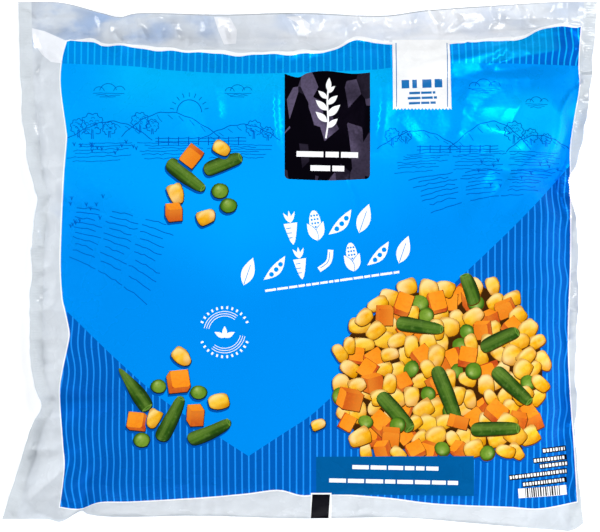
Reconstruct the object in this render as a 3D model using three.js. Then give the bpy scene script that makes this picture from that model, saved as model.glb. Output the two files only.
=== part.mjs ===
// A pillow bag of frozen vegetables, lying on its back with the printed front up.
// Millimetres, +Z up, +Y towards the bag's top edge, +X to its right.
// The origin is on the ground, under the middle of the bag's outline.

import * as THREE from 'three';
import { mergeVertices } from 'three/addons/utils/BufferGeometryUtils.js';

// Thickness of the whole pillow and of the flat film at its rim
const FRONT_RISE = 41;
const BACK_DROP = 27;
const FILM_FIN = 1.2;

// The two end seals, left and right, are flat crimped strips
const SEAL_WIDTH = 10;

// Height of the rim above the ground, at the middle of each edge and at the corners
const RIM_HEIGHT = { left: 17, right: 20, top: 15, bottom: 17, corner: 4.5 };

// How far in from each edge the film takes to reach its full height
const SHOULDER = { left: 104, right: 70, top: 96, bottom: 66 };
const SHOULDER_ROUNDNESS = 0.66;

// The empty film above the contents lies nearly flat
const HEADER_HEIGHT = 17;
const HEADER_SHARE = 0.07;

// The seals ruffle where the pillow draws them in
const RUFFLE_HEIGHT = 2.6;
const RUFFLE_PITCH = 62;

// Six inner pouches, three across and two down, show as low swells in the front
const POUCH_COLUMNS = 3;
const POUCH_ROWS = 2;
const POUCH_SWELL = 2.4;

// Grid of the film
const COLUMNS = 50;
const ROWS = 44;

const FILM_COLOUR = 0x0296f6;
const FILM_ROUGHNESS = 0.28;

// Where each edge lies, seen from above: [x, y], from left to right or from the bottom up
const TOP_EDGE = [
  [-184.5, 172.3], [-156, 171.6], [-130, 165], [-117, 162], [-102, 164.6], [-52, 163.4],
  [0, 164.5], [52, 162.6], [84, 166.4], [140, 170.3], [169, 172], [194.5, 172.3],
];
const BOTTOM_EDGE = [
  [-195, -165.2], [-166.5, -164.8], [-155.5, -166.4], [-142.7, -159.4], [-137, -161.6], [-118, -163.2],
  [-65, -162.2], [0, -163.8], [65, -163.4], [117, -167.7], [166, -172], [177, -172.4], [185.3, -167.7],
];
const LEFT_EDGE = [
  [-195, -165.2], [-183.5, -127.5], [-176, -104], [-169.6, -90.5], [-175, -74], [-177, -45],
  [-175.5, 17], [-172.8, 42], [-177.5, 64], [-182.5, 108], [-184.5, 172.3],
];
const RIGHT_EDGE = [
  [185.3, -167.7], [182, -133], [180, -103], [181.4, -87], [180, -67], [182, -3],
  [180.5, 27], [176, 52], [182.5, 73], [189.5, 114], [193.7, 158], [194.5, 172.3],
];

// The deep folds of the front: from and to seen from above, half width and height (below 0 is a dent)
const FOLDS = [
  { from: [-172, 44], to: [-108, 28], halfWidth: 15, height: -6 },
  { from: [-170, -90], to: [-112, -84], halfWidth: 17, height: -7 },
  { from: [-188, -160], to: [-124, -112], halfWidth: 13, height: 6 },
  { from: [176, 52], to: [118, 66], halfWidth: 14, height: -5 },
  { from: [186, 108], to: [104, 24], halfWidth: 15, height: 5 },
  { from: [-172, 156], to: [-96, 132], halfWidth: 12, height: 5 },
  { from: [60, 128], to: [186, 150], halfWidth: 14, height: 5 },
  { from: [-143, -159], to: [-116, -118], halfWidth: 12, height: -5 },
];

function edgeCurve(points) {
  return new THREE.SplineCurve(points.map(([x, y]) => new THREE.Vector2(x, y)));
}

const edges = {
  top: edgeCurve(TOP_EDGE),
  bottom: edgeCurve(BOTTOM_EDGE),
  left: edgeCurve(LEFT_EDGE),
  right: edgeCurve(RIGHT_EDGE),
};
const width = edges.bottom.getLength();
const height = edges.left.getLength();

// A place on the film, across and up both from 0 to 1, seen from above: a patch between the four edges
function placeOnFilm(across, up) {
  const low = edges.bottom.getPointAt(across);
  const high = edges.top.getPointAt(across);
  const left = edges.left.getPointAt(up);
  const right = edges.right.getPointAt(up);
  const between = low.lerp(high, up).add(left.clone().lerp(right, across));
  const bottomCorners = edges.bottom.getPointAt(0).lerp(edges.bottom.getPointAt(1), across);
  const topCorners = edges.top.getPointAt(0).lerp(edges.top.getPointAt(1), across);
  return between.sub(bottomCorners.lerp(topCorners, up));
}

// From 0 at an edge to 1 where the film is at its full height
function shoulder(distance, reach) {
  const t = THREE.MathUtils.clamp(distance / reach, 0, 1);
  return (1 - (1 - t) ** 2) ** SHOULDER_ROUNDNESS;
}

// Share of the full height at a place on the film
function fullness(across, up) {
  const sideways = shoulder(across * width - SEAL_WIDTH, SHOULDER.left)
    * shoulder((1 - across) * width - SEAL_WIDTH, SHOULDER.right);
  const belowTop = (1 - up) * height;
  const header = HEADER_SHARE * Math.min(belowTop / HEADER_HEIGHT, 1);
  const fromTop = header + (1 - HEADER_SHARE) * shoulder(belowTop - HEADER_HEIGHT, SHOULDER.top);
  return sideways * fromTop * shoulder(up * height, SHOULDER.bottom);
}

// Height of the rim's middle plane, lower towards the corners, with the seals' ruffles
function rimHeight(across, up) {
  const alongSide = Math.sin(Math.PI * up) ** 0.8;
  const alongEnd = Math.sin(Math.PI * across) ** 0.8;
  const side = THREE.MathUtils.lerp(RIM_HEIGHT.left, RIM_HEIGHT.right, across);
  const end = THREE.MathUtils.lerp(RIM_HEIGHT.bottom, RIM_HEIGHT.top, up);
  const reach = Math.max(alongSide, alongEnd);
  const level = (side * alongSide + end * alongEnd) / Math.max(alongSide + alongEnd, 1e-6);
  const nearSeal = Math.abs(2 * across - 1) ** 8;
  const ruffle = RUFFLE_HEIGHT * nearSeal * alongSide * Math.sin((2 * Math.PI * up * height) / RUFFLE_PITCH);
  return RIM_HEIGHT.corner + (level - RIM_HEIGHT.corner) * reach + ruffle;
}

function pouchSwell(across, up) {
  const column = Math.abs(Math.sin(Math.PI * POUCH_COLUMNS * across));
  const row = Math.abs(Math.sin(Math.PI * POUCH_ROWS * up));
  return POUCH_SWELL * (column * row - 0.5);
}

// Height that the folds add at a place seen from above
function foldHeight(place) {
  let sum = 0;
  for (const { from, to, halfWidth, height: foldPeak } of FOLDS) {
    const start = new THREE.Vector2(...from);
    const run = new THREE.Vector2(...to).sub(start);
    const along = THREE.MathUtils.clamp(place.clone().sub(start).dot(run) / run.lengthSq(), 0, 1);
    const away = place.distanceTo(start.addScaledVector(run, along)) / halfWidth;
    if (away < 1) sum += foldPeak * (1 - away) ** 1.4 * Math.sin(Math.PI * along) ** 0.6;
  }
  return sum;
}

// Columns and rows sit evenly between the seals, and each seal takes one column
function columnPlace(step) {
  const seal = SEAL_WIDTH / width;
  if (step <= 0) return 0;
  if (step >= COLUMNS) return 1;
  return seal + ((step - 1) / (COLUMNS - 2)) * (1 - 2 * seal);
}

function bagGeometry() {
  const box = new THREE.BoxGeometry(1, 1, 1, COLUMNS, ROWS, 1);
  box.deleteAttribute('normal');
  box.deleteAttribute('uv');
  const film = mergeVertices(box);
  const corner = film.getAttribute('position');
  for (let i = 0; i < corner.count; i += 1) {
    const across = columnPlace(Math.round((corner.getX(i) + 0.5) * COLUMNS));
    const up = corner.getY(i) + 0.5;
    const place = placeOnFilm(across, up);
    const rim = rimHeight(across, up);
    const share = fullness(across, up);
    const onFront = corner.getZ(i) > 0;
    const relief = (pouchSwell(across, up) + foldHeight(place)) * Math.min(share * 3, 1);
    const front = rim + FILM_FIN / 2 + FRONT_RISE * share + relief;
    const back = Math.max(rim - FILM_FIN / 2 - BACK_DROP * share, 0);
    corner.setXYZ(i, place.x, place.y, onFront ? Math.max(front, back + FILM_FIN) : back);
  }
  film.computeBoundingBox();
  const middle = film.boundingBox.getCenter(new THREE.Vector3());
  film.translate(-middle.x, -middle.y, -film.boundingBox.min.z);
  film.computeVertexNormals();
  return film;
}

function bag() {
  const film = new THREE.MeshStandardMaterial({ color: FILM_COLOUR, roughness: FILM_ROUGHNESS, metalness: 0 });
  const mesh = new THREE.Mesh(bagGeometry(), film);
  mesh.name = 'bag';
  return mesh;
}

const model = new THREE.Group();
model.add(bag());

export default model;
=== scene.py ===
"""A pillow bag of frozen vegetables, lying on its back with the printed front up.

The film is one closed mesh: front, back and the two crimped end seals. Its print is laid out flat,
in millimetres seen from above, and the film is cut into faces along every printed outline.
"""

import itertools
import math

import bpy
import numpy as np
from bpy.props import FloatProperty, FloatVectorProperty, IntProperty, PointerProperty
from bpy.types import Operator, Panel, PropertyGroup
from mathutils import Euler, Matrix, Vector, geometry


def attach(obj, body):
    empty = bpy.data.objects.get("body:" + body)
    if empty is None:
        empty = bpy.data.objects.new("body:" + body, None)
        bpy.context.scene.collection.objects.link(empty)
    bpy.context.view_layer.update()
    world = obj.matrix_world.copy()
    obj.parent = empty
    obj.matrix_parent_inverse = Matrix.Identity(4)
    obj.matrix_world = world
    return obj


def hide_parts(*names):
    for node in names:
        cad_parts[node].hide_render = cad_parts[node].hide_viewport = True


bl_info = {
    "name": "Frozen Vegetable Bag",
    "version": (1, 0, 0),
    "blender": (4, 5, 0),
    "location": "View3D > Sidebar > Vegetable Bag",
    "description": "Makes the printed film of a pillow bag of frozen vegetables, its back seam and its stage",
    "category": "Add Mesh",
}

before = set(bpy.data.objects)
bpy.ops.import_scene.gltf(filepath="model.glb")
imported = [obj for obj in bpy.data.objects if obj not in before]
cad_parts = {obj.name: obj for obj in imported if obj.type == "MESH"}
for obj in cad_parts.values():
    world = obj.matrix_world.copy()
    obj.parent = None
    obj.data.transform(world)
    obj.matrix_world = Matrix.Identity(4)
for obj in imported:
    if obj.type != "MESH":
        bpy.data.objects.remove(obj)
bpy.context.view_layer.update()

MM = 0.001
TAU = 2 * math.pi
SENSOR_WIDTH = 36

# Where each edge of the film lies, seen from above: (x, y), from left to right or from the bottom up
TOP_EDGE = [
    (-184.5, 172.3), (-156, 171.6), (-130, 165), (-117, 162), (-102, 164.6), (-52, 163.4),
    (0, 164.5), (52, 162.6), (84, 166.4), (140, 170.3), (169, 172), (194.5, 172.3),
]
BOTTOM_EDGE = [
    (-195, -165.2), (-166.5, -164.8), (-155.5, -166.4), (-142.7, -159.4), (-137, -161.6), (-118, -163.2),
    (-65, -162.2), (0, -163.8), (65, -163.4), (117, -167.7), (166, -172), (177, -172.4), (185.3, -167.7),
]
LEFT_EDGE = [
    (-195, -165.2), (-183.5, -127.5), (-176, -104), (-169.6, -90.5), (-175, -74), (-177, -45),
    (-175.5, 17), (-172.8, 42), (-177.5, 64), (-182.5, 108), (-184.5, 172.3),
]
RIGHT_EDGE = [
    (185.3, -167.7), (182, -133), (180, -103), (181.4, -87), (180, -67), (182, -3),
    (180.5, 27), (176, 52), (182.5, 73), (189.5, 114), (193.7, 158), (194.5, 172.3),
]

# The pillow's form, as in the solid
FRONT_RISE = 41
BACK_DROP = 27
RIM_HEIGHT = {"left": 17, "right": 20, "top": 15, "bottom": 17, "corner": 4.5}
SHOULDER = {"left": 104, "right": 70, "top": 96, "bottom": 66}
SHOULDER_ROUNDNESS = 0.66
SHOULDER_START = 5
HEADER_HEIGHT = 17
HEADER_SHARE = 0.07
RIM_ROUNDNESS = 0.8
RUFFLE_HEIGHT = 2.6
RUFFLE_PITCH = 62
RUFFLE_NARROWNESS = 8
POUCH_COLUMNS = 3
POUCH_ROWS = 2
POUCH_SWELL = 2.4

# Deep folds of the front: from and to, half width and height (below 0 is a dent)
FOLD_ROUNDING = 0.25
FOLD_SHARPNESS = 1.4
FOLD_ENDS = 0.6
FOLDS = [
    ((-172, 44), (-108, 28), 15, -6),
    ((-170, -90), (-112, -84), 17, -7),
    ((-188, -160), (-124, -112), 13, 6),
    ((176, 52), (118, 66), 14, -5),
    ((186, 108), (104, 24), 15, 5),
    ((-172, 156), (-96, 132), 12, 5),
    ((60, 128), (186, 150), 14, 5),
    ((-143, -159), (-116, -118), 12, -5),
]

# Sharp creases of the thin film: places along each, half width on its left and on its right, height
CREASE_STEP = 2.5
CREASE_SHARPNESS = 1.3
CREASE_ENDS = 0.4
CREASES = [
    ([(-175.5, 155.7), (-164, 152), (-152, 147.2), (-136, 145.5), (-120, 143.3), (-97, 142.6), (-65, 140.4),
      (-32, 139), (0, 138.8), (16, 141), (30, 146.5), (60, 146), (100, 146), (136, 148), (156, 154.5),
      (172, 157), (185, 158)], 12, 7, 3.6),
    ([(-175.5, 155.7), (-173.5, 147), (-166.4, 137.2), (-155.4, 132.6), (-140, 131)], 5, 8, -2.2),
    ([(-173.5, 157.6), (-166.4, 161.2)], 3, 3, 1.3),
    ([(-184, 156), (-176, 156.4)], 2.5, 2.5, -1.6),
    ([(-185, 143.6), (-176, 143)], 3, 4, 1.8),
    ([(-183, 121.5), (-175, 122)], 3, 3, 1.6),
    ([(-176, 150), (-172.5, 128), (-170, 104), (-166, 84)], 3, 6, 1.5),
    ([(-167, 90), (-163, 82), (-164, 72)], 6, 6, 1.7),
    ([(-168, 62), (-160, 56), (-152, 58)], 5, 6, -1.4),
    ([(-174, 40), (-168, 41), (-159, 47)], 4, 5, -2.4),
    ([(-173, 33), (-164, 35), (-156, 32)], 4, 5, 1.8),
    ([(-173, 23), (-169, 18), (-169, 12)], 5, 7, 2.4),
    ([(-175, 4), (-170, -1), (-160, 0)], 4, 5, 1.6),
    ([(-168, -8), (-165, -16)], 6, 6, 1.7),
    ([(-173, -20), (-168, -25), (-158, -26)], 4, 6, 1.5),
    ([(-171, -40), (-164, -46)], 5, 5, 1.3),
    ([(-172, -60), (-163, -64), (-154, -60)], 5, 5, -1.4),
    ([(-171, -91), (-166, -90), (-158, -86)], 5, 5, -2.2),
    ([(-169, -91), (-173.5, -105.3), (-177.5, -134), (-182, -148), (-186.5, -164)], 8, 5, 1.6),
    ([(-165, -94), (-164, -107), (-168.4, -123)], 6, 5, 0.9),
    ([(-187, -162.5), (-172, -149), (-156, -135.5), (-144, -128)], 6, 14, 3.2),
    ([(-141, -160), (-152, -152.8), (-160, -148)], 4, 5, -1.8),
    ([(-134, -161), (-118, -156), (-100, -157)], 4, 4, 0.9),
    ([(-121, 152), (-116, 146)], 3, 3, 1.2),
    ([(-104, 156), (-99, 147)], 3, 3, 1.4),
    ([(-84, 158), (-77, 146)], 4, 3, 1.2),
    ([(-50, 156), (-46, 142)], 3, 3, 0.9),
    ([(24, 152), (40, 160)], 5, 5, 1.4),
    ([(92, 150), (104, 163)], 5, 5, 1.2),
    ([(123, 160), (150, 161), (188, 163)], 6, 6, -1.5),
    ([(123.5, 131), (138, 133), (159.6, 139), (171, 141.8), (174, 152)], 9, 7, 2.6),
    ([(118, 128), (132, 138.2), (140, 144.5)], 3, 5, -1.6),
    ([(176, 151), (178, 140), (176, 128)], 4, 4, -1.4),
    ([(186, 121), (174, 109.3), (168.3, 97.8), (166.8, 83.3), (158, 66)], 6, 3, 2.2),
    ([(181, 124), (193, 124)], 3, 3, 1.7),
    ([(180, 96), (172, 80), (170, 66)], 4, 4, -1.6),
    ([(156, 122), (140, 100), (128, 74)], 9, 7, 1.7),
    ([(110, 118), (104, 96), (98, 70)], 7, 7, 1.0),
    ([(124, 141), (140, 147), (160, 152), (174, 153)], 4, 9, 3.0),
    ([(-58, 164), (-54, 155), (-49, 142)], 11, 3, 2.0),
    ([(-10, 164), (-5, 156), (0, 144)], 8, 4, 1.6),
    ([(79, 167), (86, 158), (91, 148)], 8, 3, 1.3),
    ([(97, 168), (103, 157)], 7, 3, 1.1),
    ([(120, 168), (128, 158)], 9, 4, 1.2),
    ([(-96, 163), (-92, 154), (-88, 145)], 6, 4, 1.1),
    ([(92, 112), (112, 92), (138, 84)], 8, 10, 1.1),
    ([(60, 96), (74, 78), (80, 56)], 9, 7, 0.9),
    ([(-150, -98), (-128, -112), (-96, -120)], 10, 8, 1.2),
    ([(-128, 60), (-104, 30), (-96, -4)], 12, 10, 0.9),
    ([(-30, 20), (-8, -6), (6, -40)], 12, 12, 0.8),
    ([(176, 52), (160, 57), (136, 62)], 5, 7, -2.0),
    ([(182, 40), (177, 20), (178, 2)], 3, 4, 1.2),
    ([(182, -20), (177, -34), (179, -56)], 3, 4, 1.2),
    ([(182, -66), (168, -70), (150, -62)], 6, 6, 1.4),
    ([(181, -90), (166, -88)], 5, 5, -1.6),
    ([(181, -162), (165, -150), (150, -144)], 6, 8, 1.8),
    ([(176, -171), (170, -160)], 4, 4, -1.2),
    ([(-15, 138), (-17, 104), (-14, 72)], 4, 9, 1.9),
    ([(48, 140), (52, 108), (48, 74)], 4, 10, 2.0),
    ([(28, 58), (34, 44), (36, 30)], 5, 10, 2.2),
    ([(-62, 136), (-54, 112), (-52, 92)], 6, 11, 1.5),
    ([(172, 46), (170.5, 20), (171, -10), (172, -50), (174, -84)], 8, 10, 1.8),
]

# Puckers run in from each edge and fade out before the corners. They are lower on the seals
SIDE_PUCKER = {"height": 4.8, "pitch": 19, "length": 75, "reach": 30}
END_PUCKER = {"height": 2.0, "pitch": 23, "length": 60, "reach": 22}
PUCKER_FADE = 14
END_FADE = 5
PUCKER_ON_SEAL = 0.4

# The fine crumple of the film: pitch, height at the edge and height inside, for each size of crumple
CRUMPLES = [(19, 2.6, 0.2), (8.5, 1.7, 0.04)]
CREST_ROUNDING = 0.06
CRUMPLE_REACH = 24
CRUMPLE_ON_SEAL = 0.3

# The back crumples less than the front, and in its own way
BACK_CRUMPLE = {"share": 0.6, "lift": 0.4, "shift": 31, "seed": 9}

# The crimped end seals: their ribs, and the teeth and the wander of their outer edge
SEAL_WIDTH = 10
RIB_PITCH = 1.7
RIB_HEIGHT = 0.05
TOOTH_DEPTH = 0.55
RIB_DEPTHS = (1.2, 4.2, 7.2, SEAL_WIDTH)
SEAL_WANDER = 1.7

# Spacing and reach of the height maps and of the film's corners, and the width of the finely cut margin
MAP_REACH = (202, 178)
GRID_REACH = (200, 176)
MAP_STEP = 0.65
RIM_STEP = 1.6
FINE_STEP = 1.35
COARSE_STEP = 2.5
BACK_STEP = 4.5
MARGIN = 30
WELD = 0.004

# The printed field: left, bottom, right and top edges
FIELD_LEFT = [
    (-151.5, 146), (-154.5, 134.5), (-155.5, 117), (-152, 89.5), (-151.5, 82), (-153.5, 56.5), (-155.5, 6.5),
    (-154.5, -19), (-152.5, -29), (-150, -41), (-150, -47.5), (-154.5, -69.5), (-156, -84), (-154, -115),
    (-153, -131), (-156, -156.5),
]
FIELD_BOTTOM = [
    (-156, -156.5), (-143, -157.8), (-130, -153.5), (-108.5, -153), (-65, -150.5), (-36, -148), (-14, -145.5),
    (1.5, -149), (20, -148), (56, -150.5), (89.5, -154.5), (135, -156.5), (156, -157.5), (180, -153),
]
FIELD_RIGHT = [
    (180, -153), (178, -119), (175, -77.5), (174, -43.5), (175.5, 4.5), (175.5, 56.5), (175.5, 77.5),
    (178.5, 98), (181.5, 116.5), (181, 131.5), (182.5, 155.5),
]
FIELD_TOP = [
    (182.5, 155.5), (168.5, 155.5), (156, 153), (142.5, 147.5), (136.5, 146), (110, 146), (101.5, 144),
    (56, 144.5), (43, 146), (33, 145.5), (20, 140), (11, 138), (-15.5, 137.5), (-47, 137), (-65, 139),
    (-89, 139.5), (-106.5, 142), (-128, 143.5), (-134, 145.5), (-151.5, 146),
]
FIELD_STEP = 2.5
FIELD_RIM = 0.9
# Width of the pale strip painted as highlight along the field's top edge, and of the strip painted as shade in the fold
# along the film's top edge
RIDGE_HIGHLIGHT_WIDTH = 2.6
FOLD_SHADE_WIDTH = 0.7
BAND_LOW = [
    (-165, 132), (-112, 130), (-87, 127.5), (-65, 126), (-40.5, 125), (-10.5, 125.5), (45.5, 127.5),
    (60.5, 129), (97.5, 131.5), (140, 131.5), (195, 129.5),
]
CHEVRON_FALL = [(-165, -17), (-151, -30), (-119, -61), (-89, -87), (-53, -111), (-33.5, -123.6)]
CHEVRON_RISE = [
    (-33.5, -123.6), (-8, -107), (5, -98.5), (19.5, -86), (110.5, -1.5), (149, 36), (175.5, 65.5), (190, 84),
]
STRIPE_PITCH = 4.36
STRIPE_LINE = 0.2

# Patches of the bare film painted paler: painted highlights where its creased facets shine white
PAINTED_GLINTS = [
    [(-174.9, 154.8), (-166.1, 152.7), (-151.7, 146.3), (-155.4, 131.8), (-161.9, 132.6), (-167.7, 137.5),
     (-173.4, 145.6)],
    [(-56, 162), (-45.5, 161.4), (-41, 153.4), (-41.6, 144.6), (-49.4, 144), (-53.3, 153.4)],
    [(-9, 162), (0, 162.4), (6.5, 157.3), (5.2, 147), (2, 153.4), (-3, 158.6)],
    [(82, 154.7), (90.5, 163.6), (93, 153.4)],
    [(100, 165), (108, 165), (109, 159), (104, 158.6)],
]

# Panels of the print
LABEL = {"left": -10, "right": 45.5, "top": 125.5, "bottom": 56.5, "corner": 3}
LABEL_TOP = [(45.5, 125.8), (34, 125), (17, 126.8), (5, 125.4), (-1.3, 122.6), (-10, 125)]
LABEL_SAG = 0.9
# Painted reflections on the black label: the slant, stretch and scale of their cells
LABEL_REFLECTION_SHARDS = {"slant": 0.55, "stretch": (1.6, 0.6, 1), "scale": 78}
LABEL_ROWS = [(17, 40), (26, 22)]
TAG = {"left": 60.5, "right": 98.5, "top": 147, "bottom": 101.5, "tooth": 1.1, "pitch": 2.2}
TAG_SLANT = 0.03
TAG_MARKS = {"level": 118.5, "height": 5.5, "marks": [(-13.5, 5), (-6.5, 3), (0, 6), (8, 5)]}
TAG_ROWS = {"level": 112.6, "pitch": 3.3, "height": 1.6, "widths": (17, 19, 17.5)}
NET_PANEL = {"left": 10.5, "right": 113, "top": -123.5, "bottom": -149.5}
NET_ROWS = {"middle": 62, "height": 2.6, "rows": [(-131.2, 56), (-140.2, 86)]}
EYE_MARK = {"left": 8, "right": 19.5, "top": -148.5, "bottom": -164, "rim": 1}

# Small print low on the right: rows of bars, each with its middle and width, and a strip of upright bars
SMALL_PRINT_SLANT = 0.12
SMALL_PRINT_HEIGHTS = {"backing": 3.6, "bars": 2.1}
SMALL_PRINT_ROWS = [
    (165.2, -119.3, 14.5), (162.5, -125.4, 21), (164.8, -129.2, 17.5), (154.8, -135.4, 37), (159, -140.4, 28),
]
STRIP = {"middle": (157.6, -146.6), "half": 15.7, "height": 6.2, "slant": 0.08, "blank": 4.5}

# The rows of vegetable signs, the row of bars under them, and the round badge
ORNAMENT_SLANT = math.radians(8)
ORNAMENT_ROWS = [
    {"middle": (18, 27.5), "pitch": 16, "size": 21, "kinds": ("carrot", "cob", "pod", "leaf")},
    {"middle": (17, 3.5), "pitch": 17, "size": 20,
     "kinds": ("leaf", "pod", "carrot", "bean", "cob", "pod", "leaf")},
]
ORNAMENT_BARS = {"middle": (21, -10), "width": 88, "height": 1.5}
RING = {"middle": (-49, -43), "radii": (10.5, 12, 13.5), "gap": 0.9, "rays": 30, "ray_radius": 16}

# The heap of vegetables. Each bean has its place, turn and length.
# Each loose piece has its kind, place, turn and size
HEAP_OUTLINE = [
    (26, -101), (23, -84), (23, -60), (27, -44), (40, -33), (50, -24), (70, -13), (100, -12), (116, -7), (137, -20),
    (150, -35), (161, -53), (162, -80), (156, -96), (147, -119), (140, -122.5), (40, -122.5), (31, -110),
]
HEAP_PITCH = 10
HEAP_SEED = 11
HEAP_SIZES = {"corn": (11, 14.5), "carrot": (9, 11.6), "pea": (4.7, 5.8)}
HEAP_KINDS = {"corn": 0.66, "carrot": 0.25, "pea": 0.09}
HEAP_LIFTS = {"corn": 2, "carrot": 0, "pea": 4, "bean": 32}
HEAP_BEANS = [
    (110, -15, 1.9, 21), (78, -39, -0.15, 31), (130, -48, 0.45, 27), (95, -83, -1.2, 38), (62, -95, -0.85, 32),
    (138, -78, -0.75, 33), (127, -106, 0.03, 32),
]
LOOSE = [
    ("bean", (-74, 59), -0.66, 30), ("bean", (-50, 66.5), 0.36, 26), ("carrot", (-70.5, 71.5), 0.9, 10),
    ("corn", (-51, 76.5), -0.6, 11.5), ("corn", (-80.5, 47), -1.3, 13.5), ("carrot", (-82, 35), 0.1, 9.5),
    ("pea", (-52, 49), 0, 5.4), ("pea", (-46.5, 39.5), 0, 5.4), ("corn", (-61, 32), 0.4, 12),
    ("bean_tip", (-108, -80), -0.95, 33), ("pea", (-92, -78), 0, 5), ("carrot", (-79, -75), 0.1, 12),
    ("corn", (-77, -59), -0.8, 14), ("pea", (-66, -82), 0, 5.4), ("bean", (-84, -99), 1.1, 32),
    ("corn", (-53, -88), 3.3, 13.5), ("carrot", (-106, -101), -0.1, 10), ("corn", (-95, -99), -1.9, 12.5),
    ("pea", (-103, -113), 0, 5.3), ("carrot", (-68, -97), 0.05, 10), ("bean", (-59, -107), 0.42, 30),
    ("corn", (12, -103), 0.3, 9.5),
]
KERNEL_OUTLINE = [
    (-1, 0.02), (-0.94, 0.52), (-0.7, 0.84), (0.02, 0.87), (0.58, 0.74), (0.93, 0.5), (1, 0.02), (0.94, -0.44),
    (0.6, -0.72), (0.02, -0.85), (-0.7, -0.86), (-0.95, -0.5),
]

# Where the light on the printed vegetables comes from: on the faces of the dice, and on rounded pieces
LIGHT_SIDE = Vector((-0.35, 0.45, 0.82)).normalized()
PRINT_LIGHT = (-0.45, 0.85)

# The bare film and the white inks gleam, and the coloured inks are a little pearly instead
WHITE_INKS = ("film", "painted_glint", "seal", "fold", "rim", "tag", "tag_blue", "white_ink", "seam")
INK_DULLNESS = 0.1
WHITE_DULLNESS = 0.06
WHITE_SPECULAR = 0.3
WHITE_COAT = 0.22

# The back seam: where it starts and ends across the bag, its corners, and how far it stands off and sinks in
SEAM_ENDS = (0.012, 0.988)
SEAM_COLUMNS = 160
SEAM_ROWS = 7
SEAM_OFF = 0.02
SEAM_IN = 0.05

# Floor and lights, in metres: place and size of each light
FLOOR_REACH = 4.0
FLOOR_DEPTH = -0.0004
LIGHTS = {
    "key": ((0.9, -1.0, 1.0), 0.7),
    "fill": ((-1.45, 0.25, 0.7), 0.7),
    "top_light": ((0.5, 1.0, 1.3), 0.5),
}


def linear(red, green, blue):
    """Linear colour of one given in the 0 to 255 steps of a screen."""
    shares = [step / 255 for step in (red, green, blue)]
    return tuple(s / 12.92 if s <= 0.04045 else ((s + 0.055) / 1.055) ** 2.4 for s in shares)


# The field's blue as painted shade low down and in its upper right corner, and as painted sheen where its film shines
FIELD_PAINTED_SHADE = linear(0, 141, 241)
FIELD_PAINTED_SHEEN = linear(2, 184, 254)


def through(places, shares):
    """Places on a smooth line through the given ones, at shares from 0 to 1 of its steps."""
    places = np.asarray(places, float)
    last = len(places) - 1
    step = np.clip(shares, 0, 1) * last
    at = np.minimum(np.floor(step).astype(int), last)
    w = (step - at)[..., None]
    before, here = places[np.maximum(at - 1, 0)], places[at]
    after, beyond = places[np.minimum(at + 1, last)], places[np.minimum(at + 2, last)]
    leave, arrive = (after - before) / 2, (beyond - here) / 2
    bend = (2 * here - 2 * after + leave + arrive) * w ** 3
    return bend + (3 * after - 3 * here - 2 * leave - arrive) * w ** 2 + leave * w + here


class Line:
    """A smooth line through a few places, measured along its length."""

    def __init__(self, places):
        self.places = places
        self.steps = np.linspace(0, 1, 401)
        runs = np.linalg.norm(np.diff(through(places, self.steps), axis=0), axis=1)
        self.lengths = np.concatenate([[0], np.cumsum(runs)])
        self.length = self.lengths[-1]

    def at(self, shares):
        """Places at shares from 0 to 1 of the length."""
        return through(self.places, np.interp(np.asarray(shares) * self.length, self.lengths, self.steps))

    def every(self, step):
        """Places about a step apart, both ends included."""
        return self.at(np.linspace(0, 1, max(int(round(self.length / step)), 1) + 1))


TOP, BOTTOM, LEFT, RIGHT = (Line(edge) for edge in (TOP_EDGE, BOTTOM_EDGE, LEFT_EDGE, RIGHT_EDGE))
WIDTH, HEIGHT = BOTTOM.length, LEFT.length


def place_on_film(across, up):
    """Place seen from above, for shares across and up the film: a patch between the four edges."""
    u, v = np.asarray(across)[..., None], np.asarray(up)[..., None]
    low, high = BOTTOM.at([0, 1]), TOP.at([0, 1])
    corners = (1 - u) * ((1 - v) * low[0] + v * high[0]) + u * ((1 - v) * low[1] + v * high[1])
    between = (1 - v) * BOTTOM.at(across) + v * TOP.at(across)
    return between + (1 - u) * LEFT.at(up) + u * RIGHT.at(up) - corners


def film_shares(x, y, rounds=12):
    """Shares across and up the film of places seen from above."""
    across, up = np.clip(x / WIDTH + 0.5, 0, 1), np.clip(y / HEIGHT + 0.5, 0, 1)
    for _ in range(rounds):
        there = place_on_film(across, up)
        across = np.clip(across + (x - there[..., 0]) / WIDTH, 0, 1)
        up = np.clip(up + (y - there[..., 1]) / HEIGHT, 0, 1)
    return across, up


def shoulder(distance, reach):
    """From 0 at an edge, with a soft start, to 1 where the film is at its full height."""
    eased = np.hypot(np.maximum(distance, 0), SHOULDER_START) - SHOULDER_START
    t = np.clip(eased / (reach - SHOULDER_START), 0, 1)
    return (1 - (1 - t) ** 2) ** SHOULDER_ROUNDNESS


def fullness(across, up):
    """Share of the full height at a place on the film."""
    sideways = shoulder(across * WIDTH - SEAL_WIDTH, SHOULDER["left"])
    sideways = sideways * shoulder((1 - across) * WIDTH - SEAL_WIDTH, SHOULDER["right"])
    below_top = (1 - up) * HEIGHT
    header = HEADER_SHARE * np.minimum(below_top / HEADER_HEIGHT, 1)
    from_top = header + (1 - HEADER_SHARE) * shoulder(below_top - HEADER_HEIGHT, SHOULDER["top"])
    return sideways * from_top * shoulder(up * HEIGHT, SHOULDER["bottom"])


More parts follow.
